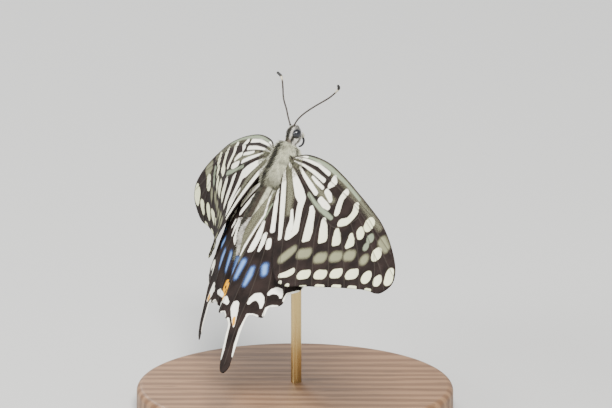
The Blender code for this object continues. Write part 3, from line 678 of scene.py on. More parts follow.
def flat_sheet(outline, veins):
    """Triangles of the flat wing with rows of points along the veins."""
    rim = closed_curve(outline, RIM_STEP)
    edge = np.concatenate([rim, rim[:1]])
    lines = vein_curves(veins)
    points = []
    for line in lines:
        ahead = np.gradient(line, axis=0)
        ahead /= np.linalg.norm(ahead, axis=1)[:, None]
        across = np.stack([-ahead[:, 1], ahead[:, 0]], 1)
        points += [line + across * offset for offset in VEIN_ROWS]
    low, high = rim.min(0), rim.max(0)
    rows = np.arange(low[1], high[1], ROW_STEP)
    columns = np.arange(low[0], high[0], WING_STEP)
    field = np.array([(x + (i % 2) * WING_STEP / 2, y) for i, y in enumerate(rows) for x in columns])
    field = field[inside(field, rim)]
    field = field[line_distance(field, lines) > VEIN_CLEAR]
    points = np.concatenate([*points, field])
    points = points[inside(points, rim)]
    points = points[line_distance(points, [edge]) > RIM_CLEAR]
    everything = [Vector(p) for p in np.concatenate([rim, points])]
    rim_edges = [(i, (i + 1) % len(rim)) for i in range(len(rim))]
    made = delaunay_2d_cdt(everything, rim_edges, [], 0, MERGE_WITHIN)
    flat = np.array([tuple(p) for p in made[0]])
    triangles = np.array([f for f in made[2] if len(f) == 3])
    triangles = triangles[inside(flat[triangles].mean(1), rim)]
    a, b, c = (flat[triangles[:, k]] for k in range(3))
    area = (b[:, 0] - a[:, 0]) * (c[:, 1] - a[:, 1]) - (b[:, 1] - a[:, 1]) * (c[:, 0] - a[:, 0])
    triangles[area < 0] = triangles[area < 0][:, ::-1]
    triangles = triangles[np.abs(area) > 1e-7]
    used = np.unique(triangles)
    flat, triangles = flat[used], np.searchsorted(used, triangles)
    return flat, triangles, line_distance(flat, lines), line_distance(flat, [edge])


def fore_fields(flat, rim):
    """Marks of a forewing: the discal ones end on one line, and the front edge stays black."""
    x, y = flat.T
    limit = np.interp(y, *zip(*DISCAL_LIMIT))
    pale = np.minimum(stroke_field(flat, FORE_DISCAL), limit - x)
    pale = np.maximum(pale, stroke_field(flat, FORE_PALE))
    slope, start = COSTA_LINE
    edge = np.where(y > slope * x + start, (rim - COSTA_EDGE) * 1.5, -OUTSIDE)
    nowhere = np.full(len(flat), OUTSIDE)
    return {"pale": np.minimum(pale, edge), "faint": np.minimum(stroke_field(flat, FORE_FAINT), edge),
            "post": stroke_field(flat, FORE_POST), "dust": np.minimum(stroke_field(flat, FORE_DUST), edge),
            "blue": nowhere, "orange": nowhere, "green": 0.25 + 0.75 * soft_step(x + 0.5 * y, 16, 36)}


def hind_fields(flat):
    """Marks of a hindwing, with a black pupil in the orange spot."""
    orange = np.minimum(stroke_field(flat, HIND_ORANGE), -stroke_field(flat, HIND_PUPIL))
    return {"pale": stroke_field(flat, HIND_PALE), "faint": stroke_field(flat, HIND_FAINT),
            "post": np.full(len(flat), OUTSIDE), "dust": stroke_field(flat, HIND_DUST),
            "blue": stroke_field(flat, HIND_BLUE), "orange": orange, "green": np.full(len(flat), 0.15)}


def wing_material(name, upper):
    """Scales laid in dark and pale fields, with stippled borders; the underside is paler."""
    material, graph, shader = new_material(name, Specular_IOR_Level=0.12)
    flat = graph.attribute("flat", "Vector")
    grain = graph.noise(flat, 5.0, 2.0)
    speck = graph.noise(flat, 11.0, 1.0)
    broad = graph.noise(flat, 0.3, 3.0)
    wide = 0.0 if upper else 0.22
    ground = GROUND_UPPER if upper else GROUND_UNDER
    colour = graph.mix(graph.smooth(broad, 0.3, 0.7), *ground)
    density = graph.smooth(graph.attribute("dust"), -0.7, 0.6)
    dusted = graph.smooth(speck + density * 0.16, 0.60, 0.72) * graph.smooth(density, 0.0, 0.25)
    colour = graph.mix(dusted * (0.75 if upper else 0.9), colour, DUSTED)
    post = graph.smooth(graph.attribute("post") + (grain - 0.5) * 0.7, -0.6 - wide, 0.35)
    colour = graph.mix(post * 0.85, colour, POST_UPPER if upper else POST_UNDER)
    faint = graph.smooth(graph.attribute("faint") + (grain - 0.5) * 0.4, -0.2 - wide, 0.22)
    colour = graph.mix(faint * 0.85, colour, FAINT_GREEN)
    blue = graph.attribute("blue")
    stipple = graph.smooth(blue + (speck - 0.5) * 2.2, -0.15, 0.4)
    colour = graph.mix(stipple * 0.95, colour, graph.mix(graph.smooth(blue, 0.0, 0.9), BLUE_RIM, BLUE_HEART))
    pale = graph.attribute("pale") + (grain - 0.5) * 0.22
    white = graph.mix(graph.attribute("green"), WHITE, IVORY)
    white = graph.mix(graph.smooth(graph.noise(flat, 1.1, 3.0), 0.35, 0.75) * 0.16, white, WHITE_SOILED)
    colour = graph.mix(graph.smooth(pale + wide, -0.1, 0.12), colour, white)
    orange = graph.attribute("orange") + (grain - 0.5) * 0.3
    colour = graph.mix(graph.smooth(orange, -0.1, 0.12), colour, ORANGE)
    veins = graph.smooth(graph.attribute("vein"), *((0.16, 0.06) if upper else (0.26, 0.10)))
    colour = graph.mix(veins * (0.55 if upper else 0.85), colour, VEIN_BROWN)
    rows = graph.node("ShaderNodeTexVoronoi", None, {"Vector": flat, "Scale": 7.0})
    relief = rows * 0.5 + graph.noise(flat, 2.2, 2.0)
    feed(graph, shader, Base_Color=colour, Roughness=0.62 + grain * 0.2,
         Normal=graph.bump(relief, 0.00005, 0.35))
    return material


def make_wing(name, sheet, fields, finishes):
    """Two skins that meet at the rim, veins raised on both, with the marks stored at their points."""
    flat, triangles, vein, rim = sheet
    side = 1 if name.endswith("right") else -1
    middle = wing_surface(name, flat)
    normal = wing_normal(name, flat)
    sag = -SAG * soft_step(vein, 0.1, 1.6) * soft_step(rim, 0.0, 1.5)
    ridge = VEIN_RISE * np.clip(1 - (vein / VEIN_HALF) ** 2, 0, 1)
    half = (HALF_SHEET + ridge) * np.clip(rim / RIM_ROUND, 0, 1) ** 0.5
    on_rim = rim < 1e-4
    upper = middle + normal * (sag + half)[:, None]
    lower = middle + normal * (sag - half)[:, None]
    count = len(flat)
    under = np.arange(count) + count
    under[on_rim] = np.nonzero(on_rim)[0]
    top = triangles if side > 0 else triangles[:, ::-1]
    bottom = under[triangles[:, ::-1] if side > 0 else triangles]
    vertices = np.concatenate([upper, lower])
    faces = np.concatenate([top, bottom])
    used = np.unique(faces)
    piece = add_mesh(name + "_scales", to_world(vertices[used]), np.searchsorted(used, faces), finishes)
    mesh = piece.data
    mesh.polygons.foreach_set("material_index", np.repeat([0, 1], len(triangles)).astype(np.int32))
    source = used % count
    for key, values in fields.items():
        store(mesh, key, "FLOAT", values[source])
    store(mesh, "vein", "FLOAT", vein[source])
    store(mesh, "flat", "FLOAT_VECTOR", np.column_stack([flat[source], np.zeros(len(source))]))
    finish_piece(piece, "wing_scales", name)


def body_rows():
    """Rings of the one skin from the tail to the face: (forward, centre, half width, up, down)."""
    rows = []
    steps = ABDOMEN_SEGMENTS * SEGMENT_ROWS
    for i in range(steps, -1, -1):
        t = i / steps
        swell = (1 - 0.16 * (1 - t) ** 6) * max(1 - t ** 4.2, 0.004) ** 0.5
        phase = (i % SEGMENT_ROWS) / SEGMENT_ROWS
        lap = SEGMENT_LAP * (phase ** 3) if 0 < i < steps else 0.0
        radius = max(ABDOMEN_RADIUS * swell - ABDOMEN_COAT - lap, 0.04)
        rows.append((ABDOMEN_FRONT - ABDOMEN_LENGTH * t, 1.15 - 0.15 * t, radius, radius, radius))
    for table, inset in ((THORAX, THORAX_COAT), (HEAD, HEAD_COAT)):
        made = curve_rows(table, np.linspace(0, 1, TABLE_ROWS))
        made[:, 2:] = np.maximum(made[:, 2:] - inset, 0.05)
        rows += [tuple(row) for row in made]
    rows = np.array(rows)
    kernel = np.array([1, 2, 3, 2, 1]) / 9
    joins = np.any([np.abs(rows[:, 0] - place) < reach for place, reach in JOINS], axis=0)
    for k in range(1, 5):
        calm = np.convolve(np.pad(rows[:, k], 2, mode="edge"), kernel, mode="valid")
        rows[:, k] = np.where(joins, calm, rows[:, k])
    return rows


def body_tone(points, centre):
    """Colour of skin and hair, from the bands along the body; angles start from the back's middle."""
    x, y, z = points.T
    turn = np.degrees(np.arctan2(np.abs(x), z - centre))
    tone = np.tile(np.array(CREAM), (len(x), 1))

    def paint(mask, colour):
        tone[:] = tone + (np.array(colour) - tone) * mask[:, None]

    def band(value, low, high, soft):
        return soft_step(value, low - soft, low + soft) * (1 - soft_step(value, high - soft, high + soft))

    thorax = band(y, -4.4, 4.9, 0.4)
    abdomen = 1 - soft_step(y, -4.8, -3.9)
    head = soft_step(y, 4.5, 4.9)
    paint(thorax * (1 - soft_step(y, -3.8, -1.0)) * 0.8, OLIVE)
    paint(thorax * (1 - soft_step(turn, 15, 23)), BLACK)
    paint(thorax * band(turn, 96, 112, 4), BLACK)
    paint(abdomen * (1 - soft_step(turn, 50, 62)), BROWN)
    paint(abdomen * (1 - soft_step(turn, 14, 34)), BLACK)
    for low, high in ((92, 104), (140, 150)):
        paint(abdomen * band(turn, low, high, 3), BROWN)
    paint(head, WHITE)
    paint(head * band(y, 4.5, 5.3, 0.3) * band(turn, 20, 60, 5) * 0.7, RUST)
    paint(head * (1 - soft_step(turn, 27, 33)), BLACK)
    paint(head * band(turn, 50, 76, 4) * (1 - soft_step(y, 6.6, 7.4)), BLACK)
    paint(head * band(turn, 116, 132, 4), BLACK)
    paint(soft_step(y, 7.1, 7.5) * soft_step(turn, 40, 55) * 0.75, BLACK)
    return tone


def eye_clear(points):
    """Zero on the eyes and one well away from them."""
    x, y, z = points.T
    offset = [place - centre for place, centre in zip((np.abs(x), y, z), EYE_CENTRE)]
    far = np.sqrt(sum((o / r) ** 2 for o, r in zip(offset, EYE_RADII)))
    return soft_step(far, 1.0, 1.12)


def unwrap_rings(mesh, count, forward, low, high):
    """Unwraps rings of count points: round the body across, and along it upwards."""
    unwrap = mesh.uv_layers.new(name="OFBake")
    vertex = corner_points(mesh)
    corner = np.zeros((len(vertex), 2), np.float32)
    corner[:, 0] = UNWRAP_EDGE + UNWRAP_SPAN * (vertex % count) / count
    corner[:, 1] = UNWRAP_EDGE + UNWRAP_SPAN * (forward[vertex] - low) / (high - low)
    start = np.zeros(len(mesh.polygons), np.int32)
    total = np.zeros(len(mesh.polygons), np.int32)
    mesh.polygons.foreach_get("loop_start", start)
    mesh.polygons.foreach_get("loop_total", total)
    for first, number in zip(start, total):
        place = vertex[first:first + 4] % count
        if number == 4 and np.ptp(place) > count / 2:
            corner[first:first + 4, 0] += np.where(place == 0, UNWRAP_SPAN, 0.0)
    unwrap.data.foreach_set("uv", corner.ravel())


def skin_mesh(name, rows, finish, ends=True):
    """Skin over some of the body's rings, with the lie, tone, length and growth of its coat."""
    count = SKIN_SIDES
    turn = 2 * pi * np.arange(count) / count
    rings, level = [], []
    for forward, centre, half, up, down in rows:
        height = centre + np.where(np.sin(turn) > 0, up, down) * np.sin(turn)
        rings.append(np.stack([half * np.cos(turn), np.full(count, forward), height], 1))
        level += [centre] * count
    points = np.concatenate(rings)
    faces = ring_quads(len(rows), count)
    if ends:
        faces += [range(count), range(len(points) - 1, len(points) - count - 1, -1)]
    piece = add_mesh(name, to_world(points), faces, [finish])
    mesh = piece.data
    level = np.array(level)
    forward = points[:, 1]
    store(mesh, "tone", "FLOAT_COLOR", np.column_stack([body_tone(points, level), np.ones(len(points))]))
    lie = np.stack([0.25 * points[:, 0], np.full(len(points), -1.0), 0.12 * (points[:, 2] - level)], 1)
    on_head = soft_step(forward, 4.6, 5.4)[:, None]
    face = np.stack([0.5 * points[:, 0], 0.7 * (forward - 6.4), 0.6 * (points[:, 2] - level)], 1)
    store(mesh, "lie", "FLOAT_VECTOR", turn_only(lie * (1 - on_head) + face * on_head))
    back = (points[:, 2] - level) / np.maximum(np.hypot(points[:, 0], points[:, 2] - level), 1e-6)
    below = 1 - 0.35 * soft_step(-back, 0.2, 0.8)
    long = soft_step(forward, -5.0, -3.0) * (1 - on_head[:, 0]) * below
    store(mesh, "long", "FLOAT", SHORT_HAIR + long - HEAD_SHORTER * on_head[:, 0])
    store(mesh, "grow", "FLOAT", eye_clear(points))
    unwrap_rings(mesh, count, forward, rows[0][0], rows[-1][0])
    return piece


def skin_material():
    material, graph, shader = new_material("skin_under_hair", Specular_IOR_Level=0.3)
    place = graph.object_place()
    fine = graph.noise(place, 9000.0, 3.0)
    tone = graph.attribute("tone", "Color")
    colour = graph.mix(0.25 + graph.smooth(fine, 0.3, 0.7) * 0.35, tone, (0.03, 0.025, 0.02))
    feed(graph, shader, Base_Color=colour, Roughness=0.7 + fine * 0.2, Normal=graph.bump(fine, 0.0001, 0.6))
    return material


def hair_material():
    """Hair takes the skin's tone with painted shade, darker towards the root and in the gaps between clumps,
    and is varied from tuft to tuft.
    """
    material, graph, shader = new_material("hair_fine", Specular_IOR_Level=0.2)
    tone = graph.attribute("tone", "Color")
    along = graph.attribute("along")
    varied = graph.attribute("varied")
    gap_shade = graph.noise(graph.object_place(), 1700.0, 2.0)
    # Painted shade towards the root of each tuft
    colour = graph.mix(graph.smooth(along, 0.6, 0.0) * 0.5, tone, HAIR_ROOT_SHADE)
    # Painted shade: dark gaps between clumps of hair, set by noise and each tuft's own chance
    colour = graph.mix(graph.smooth(varied + gap_shade * 1.6, 1.15, 1.75) * 0.45, colour, HAIR_GAP_SHADE)
    patchy = graph.noise(graph.object_place(), 650.0, 3.0)
    colour = graph.mix(graph.smooth(patchy, 0.5, 0.68) * 0.5, colour, HAIR_PATCH)
    feed(graph, shader, Base_Color=colour, Roughness=0.5 + varied * 0.25)
    return material


def new_tree(name, **inputs):
    """An empty geometry tree with named inputs, its graph, and the inputs as values."""
    tree = bpy.data.node_groups.new(name, "GeometryNodeTree")
    for key, kind in inputs.items():
        tree.interface.new_socket(name=key, in_out="INPUT", socket_type="NodeSocket" + kind)
    tree.interface.new_socket(name="Made", in_out="OUTPUT", socket_type="NodeSocketGeometry")
    graph = Graph(tree)
    given = tree.nodes.new("NodeGroupInput")
    return tree, graph, {key: Value(graph, given.outputs[key]) for key in inputs}


def end_tree(tree, value):
    """Sends a value to a tree's output."""
    end = tree.nodes.new("NodeGroupOutput")
    tree.links.new(value.socket, end.inputs["Made"])


def coat_tree():
    """Geometry nodes that set three-sided tufts on a surface, along its stored lie."""
    tree, graph, put = new_tree("coat", Skin="Geometry", Density="Float", Length="Float", Width="Float",
                                Lift="Float", Scatter="Float", Seed="Int", Material="Material")
    spread = graph.node("GeometryNodeDistributePointsOnFaces", None,
                        {"Mesh": put["Skin"], "Density": put["Density"] * graph.named("grow"),
                         "Seed": put["Seed"]})
    normal = Value(graph, spread.socket.node.outputs["Normal"])
    points = graph.keep(spread, "root_at", "FLOAT_VECTOR", graph.named("OFBake", "FLOAT_VECTOR"))
    dice = graph.node("FunctionNodeRandomValue", {"data_type": "FLOAT_VECTOR"},
                      {0: (-1.0, -1.0, -1.0), 1: (1.0, 1.0, 1.0), "Seed": put["Seed"]})
    luck = graph.node("FunctionNodeRandomValue", {"data_type": "FLOAT"},
                      {2: 0.0, 3: 1.0, "Seed": LUCK_SEED}, out=1)
    points = graph.keep(points, "varied", "FLOAT", luck)
    lie = graph.vector("NORMALIZE", graph.named("lie", "FLOAT_VECTOR"))
    loose = graph.vector("ADD", lie, graph.vector("SCALE", dice, Scale=put["Scatter"]))
    into = graph.vector("DOT_PRODUCT", loose, normal, out="Value")
    flat = graph.vector("SUBTRACT", loose, graph.vector("SCALE", normal, Scale=into))
    lift = graph.vector("SCALE", normal, Scale=put["Lift"] * (0.6 + luck * 0.8))
    ahead = graph.vector("ADD", graph.vector("NORMALIZE", flat), lift)
    turn = graph.aimed("Z", Vector=ahead)
    turn = graph.aimed("X", "Z", Rotation=turn, Vector=normal)
    cone = graph.node("GeometryNodeMeshCone", {"fill_type": "TRIANGLE_FAN"},
                      {"Vertices": 3, "Side Segments": 3, "Fill Segments": 1, "Radius Top": TUFT_TIP,
                       "Radius Bottom": 1.0, "Depth": 1.0})
    height = graph.node("ShaderNodeSeparateXYZ", None, {0: graph.node("GeometryNodeInputPosition")}, out="Z")
    cone = graph.keep(cone, "along", "FLOAT", height)
    droop = graph.combined(X=height * height * -3.0 + height * 1.2)
    cone = graph.node("GeometryNodeSetPosition", None, {"Geometry": cone, "Offset": droop})
    size = put["Length"] * graph.named("long") * (0.65 + luck * 0.7)
    tufts = graph.node("GeometryNodeInstanceOnPoints", None,
                       {"Points": points, "Instance": cone, "Rotation": turn,
                        "Scale": graph.combined(X=put["Width"], Y=put["Width"], Z=size)})
    tufts = graph.node("GeometryNodeRealizeInstances", None, {"Geometry": tufts})
    patch = graph.combined(X=graph.named("varied") * TUFT_PATCH, Y=graph.named("along") * TUFT_PATCH)
    unwrap = graph.vector("ADD", graph.named("root_at", "FLOAT_VECTOR"), patch)
    tufts = graph.keep(tufts, "OFBake", "FLOAT2", unwrap, "CORNER")
    end_tree(tree, graph.dressed(tufts, put["Material"]))
    return tree


def grow_on(piece, tree, name, values):
    """Runs a geometry tree on a piece and returns the result as a new plain mesh object."""
    run = piece.modifiers.new("grow", "NODES")
    run.node_group = tree
    for socket in tree.interface.items_tree:
        if socket.in_out == "INPUT" and socket.name in values:
            run[socket.identifier] = values[socket.name]
    bpy.context.view_layer.update()
    ready = piece.evaluated_get(bpy.context.evaluated_depsgraph_get())
    mesh = bpy.data.meshes.new_from_object(ready)
    piece.modifiers.remove(run)
    mesh.name = name
    return link_object(name, mesh)


def add_coat(emitter, tree, name, finish, density, length, width, lift, scatter, seed):
    """Grows a coat and drops its emitter. Density is for each square millimetre; sizes are millimetres."""
    values = {"Density": density * 1e6, "Length": length * MM, "Width": width * MM, "Lift": lift,
              "Scatter": scatter, "Seed": seed, "Material": finish}
    coat = grow_on(emitter, tree, name, values)
    coat.data.shade_smooth()
    finish_piece(coat, "body_hair")
    drop_object(emitter)


def tube_tree():
    """Geometry nodes that sweep a ringed round tube along a line, with its girth stored on the points."""
    tree, graph, put = new_tree("ringed_tube", Line="Geometry", Rings="Float", Depth="Float",
                                Samples="Int", Sides="Int", Material="Material")
    line = graph.node("GeometryNodeMeshToCurve", None, {"Mesh": put["Line"]})
    line = graph.node("GeometryNodeResampleCurve", None, {"Curve": line, "Count": put["Samples"]})
    along = graph.node("GeometryNodeSplineParameter", out="Factor")
    line = graph.keep(line, "along", "FLOAT", along)
    wave = along.math("COSINE", along * put["Rings"] * (2 * pi), 0.0)
    circle = graph.node("GeometryNodeCurvePrimitiveCircle", None, {"Resolution": put["Sides"], "Radius": 1.0})
    tube = graph.node("GeometryNodeCurveToMesh", None,
                      {"Curve": line, "Profile Curve": circle, "Fill Caps": True,
                       "Scale": graph.named("girth") * (1.0 - put["Depth"] * (0.5 + wave * 0.5))})
    end_tree(tree, graph.dressed(tube, put["Material"]))
    return tree


def add_tube(tree, name, points, girths, finish, rings=0.0, depth=0.0, samples=30, sides=14):
    """A ringed tube through body points; the girth is given in millimetres at each of them."""
    ts = np.linspace(0, 1, samples)
    path = curve_rows(points, ts)
    girth = np.interp(ts, np.linspace(0, 1, len(girths)), girths)
    mesh = bpy.data.meshes.new(name + "_line")
    mesh.from_pydata(to_world(path).tolist(), [(i, i + 1) for i in range(samples - 1)], [])
    store(mesh, "girth", "FLOAT", girth * MM)
    line = link_object(name + "_line", mesh)
    made = grow_on(line, tree, name, {"Rings": rings, "Depth": depth, "Samples": samples * 3,
                                      "Sides": sides, "Material": finish})
    drop_object(line)
    made.data.shade_smooth()
    return made


def horn_material(name, detail, steps, tones, rough, relief):
    """Dark horn with a fine grain in its colour, its gloss and its relief."""
    material, graph, shader = new_material(name, Specular_IOR_Level=0.4)
    fine = graph.noise(graph.object_place(), 6000.0, detail)
    feed(graph, shader, Base_Color=graph.mix(graph.smooth(fine, *steps), *tones),
         Roughness=rough[0] + fine * rough[1], Normal=graph.bump(fine, *relief))
    return material


def antenna_material():
    """Dark brown rings, a cream band before the club, and a black club."""
    material, graph, shader = new_material("feeler_horn", Specular_IOR_Level=0.5)
    along = graph.attribute("along")
    fine = graph.noise(graph.object_place(), 7000.0, 2.0)
    colour = graph.mix(graph.smooth(fine, 0.3, 0.7), (0.018, 0.012, 0.009), (0.038, 0.027, 0.02))
    cream = graph.smooth(along, 0.83, 0.88) * (1.0 - graph.smooth(along, 0.91, 0.92))
    colour = graph.mix(cream * 0.85, colour, (0.55, 0.50, 0.36))
    colour = graph.mix(graph.smooth(along, 0.91, 0.92), colour, (0.006, 0.005, 0.005))
    feed(graph, shader, Base_Color=colour, Roughness=0.42 + fine * 0.2, Normal=graph.bump(fine, 0.00003, 0.5))
    return material


def tongue_material():
    return horn_material("tongue_dark", 2.0, (0.3, 0.7), ((0.004, 0.004, 0.006), (0.012, 0.011, 0.014)),
                         (0.4, 0.2), (0.00002, 0.4))


def leg_material():
    return horn_material("leg_scaled", 3.0, (0.35, 0.65), ((0.06, 0.05, 0.035), (0.42, 0.38, 0.25)),
                         (0.55, 0.25), (0.00005, 0.5))


def eye_material():
    """Glossy black eye with a faint blue-grey sheen and its facets as a fine relief."""
    material, graph, shader = new_material("eye_gloss", Specular_IOR_Level=0.45, Coat_Weight=0.25,
                                           Coat_Roughness=0.1)
    place = graph.object_place()
    facets = graph.node("ShaderNodeTexVoronoi", None, {"Vector": place, "Scale": 22000.0})
    cloud = graph.noise(place, 1500.0, 2.0)
    colour = graph.mix(graph.smooth(cloud, 0.35, 0.7), (0.004, 0.004, 0.005), (0.012, 0.013, 0.018))
    feed(graph, shader, Base_Color=colour, Roughness=0.12 + cloud * 0.12,
         Normal=graph.bump(facets, 0.000012, 0.35))
    return material


def wood_material():
    material, graph, shader = new_material("walnut_satin", Specular_IOR_Level=0.25)
    grain = graph.noise(graph.stretched((120.0, 900.0, 900.0)), 1.0, 6.0)
    rings = graph.node("ShaderNodeTexWave", {"bands_direction": "Y"},
                       {"Vector": graph.stretched((14.0, 90.0, 90.0)), "Scale": 1.0, "Distortion": 5.0,
                        "Detail": 3.0}, out="Fac")
    colour = graph.mix(graph.smooth(rings, 0.1, 0.9), (0.15, 0.078, 0.038), (0.24, 0.135, 0.068))
    colour = graph.mix(graph.smooth(grain, 0.5, 0.72) * 0.55, colour, (0.10, 0.055, 0.03))
    feed(graph, shader, Base_Color=colour, Roughness=0.38 + grain * 0.2,
         Normal=graph.bump(grain, 0.00008, 0.25))
    return material


def brass_material():
    material, graph, shader = new_material("brass_polished", Metallic=1.0)
    lines = graph.noise(graph.stretched((5000.0, 5000.0, 150.0)), 1.0, 3.0)
    colour = graph.mix(lines, (0.62, 0.46, 0.20), (0.50, 0.36, 0.15))
    feed(graph, shader, Base_Color=colour, Roughness=0.18 + lines * 0.18,
         Normal=graph.bump(lines, 0.00002, 0.2))
    return material


def floor_material():
    return new_material("floor_pale", Base_Color=(0.50, 0.50, 0.485, 1.0), Roughness=0.85)[0]


def turned(name, profile, centre, sides, finish):
    """A closed turned shape from (radius, height) pairs, bottom to top, in millimetres."""
    turn = 2 * pi * np.arange(sides) / sides
    rings = [np.stack([centre[0] + r * np.cos(turn), centre[1] + r * np.sin(turn), np.full(sides, z)], 1)
             for r, z in profile]
    points = np.concatenate(rings) * MM
    faces = ring_quads(len(profile), sides, anticlockwise=True)
    faces += [range(sides - 1, -1, -1), range((len(profile) - 1) * sides, len(profile) * sides)]
    piece = add_mesh(name, points, faces, [finish])
    piece.data.set_sharp_from_angle(angle=radians(SHARP_ANGLE))
    return piece


def make_stand():
    """A round base with a small chamfer at its foot, and the rod that ends just under the thorax."""
    bevel = [(BASE_RADIUS - BASE_BEVEL * (1 - cos(a)), BASE_THICK - BASE_BEVEL * (1 - sin(a)))
             for a in np.linspace(0, pi / 2, 9)]
    foot = [(BASE_RADIUS - BASE_CHAMFER, 0.0), (BASE_RADIUS, BASE_CHAMFER)]
    base = turned("base_disc", foot + bevel, (0, 0), BASE_SIDES, wood_material())
    finish_piece(base, "base_wood", "stand_base")
    meets = to_world([ROD_MEETS])[0] / MM
    top = meets[2] - ROD_BELOW
    rod = turned("brass_rod", [(ROD_RADIUS, ROD_STARTS), (ROD_RADIUS, top)], meets[:2], ROD_SIDES,
                 brass_material())
    finish_piece(rod, "rod_metal", "stand_rod")


def ellipsoid(name, centre, radii, finish, rows=40, sides=64):
    """A closed ellipsoid with its poles to the body's two sides."""
    points = [(centre[0] + radii[0], centre[1], centre[2])]
    for i in range(1, rows):
        lift = pi * i / rows
        for k in range(sides):
            turn = 2 * pi * k / sides
            points.append((centre[0] + radii[0] * cos(lift), centre[1] + radii[1] * sin(lift) * cos(turn),
                           centre[2] + radii[2] * sin(lift) * sin(turn)))
    points.append((centre[0] - radii[0], centre[1], centre[2]))
    faces = [(0, 1 + k, 1 + (k + 1) % sides) for k in range(sides)]
    faces += ring_quads(rows - 1, sides, first=1)
    last = len(points) - 1
    first = 1 + (rows - 2) * sides
    faces += [(first + k, last, first + (k + 1) % sides) for k in range(sides)]
    return add_mesh(name, to_world(points), faces, [finish])


def sided(side, points):
    """Points of the right side, or mirrored to the left one."""
    return [(side * x, y, z) for x, y, z in points]


def make_eyes():
    finish = eye_material()
    for side, word in SIDES:
        centre = sided(side, [EYE_CENTRE])[0]
        finish_piece(ellipsoid("eye_ball_" + word, centre, EYE_RADII, finish), "eye", "eye_" + word)


def feeler_girth():
    """Girth along a feeler, with the club at its end."""
    t = np.linspace(0, 1, 60)
    club = np.sin(pi * np.clip(t - CLUB_START, 0, None) / CLUB_LENGTH)
    girth = SHAFT_RADIUS + (CLUB_RADIUS - SHAFT_RADIUS) * club
    girth[0] *= ROOT_SWELL
    girth[-1] *= TIP_TAPER
    return girth


def make_limbs(tube, hair):
    """Feelers, tongue, palps and legs."""
    horn, scaled = antenna_material(), leg_material()
    for side, word in SIDES:
        made = add_tube(tube, "feeler_" + word, sided(side, FEELER), feeler_girth(), horn, rings=42.0,
                        depth=0.14, samples=130, sides=16)
        finish_piece(made, "feeler", "antenna_" + word)
        made = add_tube(tube, "palp_form_" + word, sided(side, PALP), PALP_GIRTH, hair)
        store_colour(made.data, PALP_TONE)
        finish_piece(made, "body_hair", "palp_" + word)
        for pair, joints in LEGS.items():
            made = add_tube(tube, "%s_leg_%s" % (pair, word), bent(sided(side, joints)), LEG_GIRTH, scaled,
                            rings=9.0, depth=0.1, samples=60, sides=12)
            finish_piece(made, "leg", "leg_%s_%s" % (pair, word))
    made = add_tube(tube, "tongue", TONGUE, TONGUE_GIRTH, tongue_material(), rings=50.0, depth=0.08,
                    samples=120)
    finish_piece(made, "feeler", "proboscis")


def bent(joints):
    """Leg joints with a point close to each bend, so that the curve stays straight between them."""
    made = [joints[0]]
    for a, b, c in zip(joints, joints[1:], joints[2:]):
        a, b, c = (np.array(p) for p in (a, b, c))
        made += [tuple(b + (a - b) * BEFORE_BEND), tuple(b), tuple(b + (c - b) * AFTER_BEND)]
    made.append(joints[-1])
    return made


def hair_strip(name, box, lie, tone, taper, finish):
    """A patch of a wing's upper side that hair grows on, as its own scratch surface."""
    (x0, x1), (y0, y1) = box
    across, up = STRIP_POINTS
    flat = np.array([(x, y) for y in np.linspace(y0, y1, up) for x in np.linspace(x0, x1, across)])
    faces = []
    for r in range(up - 1):
        for c in range(across - 1):
            a = r * across + c
            faces.append((a, a + 1, a + 1 + across, a + across))
    faces = np.array(faces)
    outline = closed_curve(FORE_OUTLINE if name.startswith("fore") else HIND_OUTLINE, STRIP_STEP)
    faces = faces[inside(flat[faces].mean(1), outline)]
    if name.endswith("left"):
        faces = faces[:, ::-1]
    surface = wing_surface(name, flat)
    piece = add_mesh(name + "_patch", to_world(surface + wing_normal(name, flat) * STRIP_ABOVE), faces,
                     [finish])
    mesh = piece.data
    ahead = wing_surface(name, flat + np.array(lie) * 0.1) - surface
    store(mesh, "lie", "FLOAT_VECTOR", turn_only(ahead))
    store_colour(mesh, tone)
    store(mesh, "long", "FLOAT", 1.0 - taper * flat[:, 0])
    store(mesh, "grow", "FLOAT", np.ones(len(flat)))
    unwrap = mesh.uv_layers.new(name="OFBake")
    corner = (flat[corner_points(mesh)] - (x0, y0)) / max(x1 - x0, y1 - y0)
    unwrap.data.foreach_set("uv", corner.astype(np.float32).ravel())
    return piece


def grow_wing_hair(coat, hair):
    """White hair along the inner edge of the hindwings, and a short nap at the wing roots."""
    for _, word in SIDES:
        edge = hair_strip("hindwing_" + word, ((-1.2, -0.2), (-16.5, -1.5)), (-0.8, -0.6), WHITE, 0.0, hair)
        add_coat(edge, coat, "hind_fringe_" + word, hair, density=130, length=0.9, width=0.04, lift=0.45,
                 scatter=0.35, seed=21)
        root = hair_strip("forewing_" + word, ((-0.4, 5.5), (-1.4, 4.2)), (1.0, 0.35), OLIVE, 0.12, hair)
        add_coat(root, coat, "fore_nap_" + word, hair, density=26, length=1.1, width=0.03, lift=0.25,
                 scatter=0.35, seed=22)


def make_body(coat):
    """One skin from face to tail, then the coat in three pieces."""
    rows = body_rows()
    hair = hair_material()
    skin = skin_mesh("body_skin", rows, skin_material())
    finish_piece(skin, "body_hair", "head", "thorax", "abdomen")
    forward = rows[:, 0]
    # Each coat: name, rings, density, length, width, lift, scatter and seed
    plans = (("coat_abdomen", forward < -4.0, 80, 0.95, 0.035, 0.3, 0.4, 11),
             ("coat_thorax", (forward > -4.4) & (forward < 5.0), 75, 0.85, 0.048, 0.5, 0.45, 12),
             ("coat_head", forward > 4.6, 150, 0.9, 0.03, 0.7, 0.5, 13))
    for name, rows_kept, *settings in plans:
        patch = skin_mesh(name + "_patch", rows[rows_kept], hair, ends=False)
        add_coat(patch, coat, name, hair, *settings)
    return hair


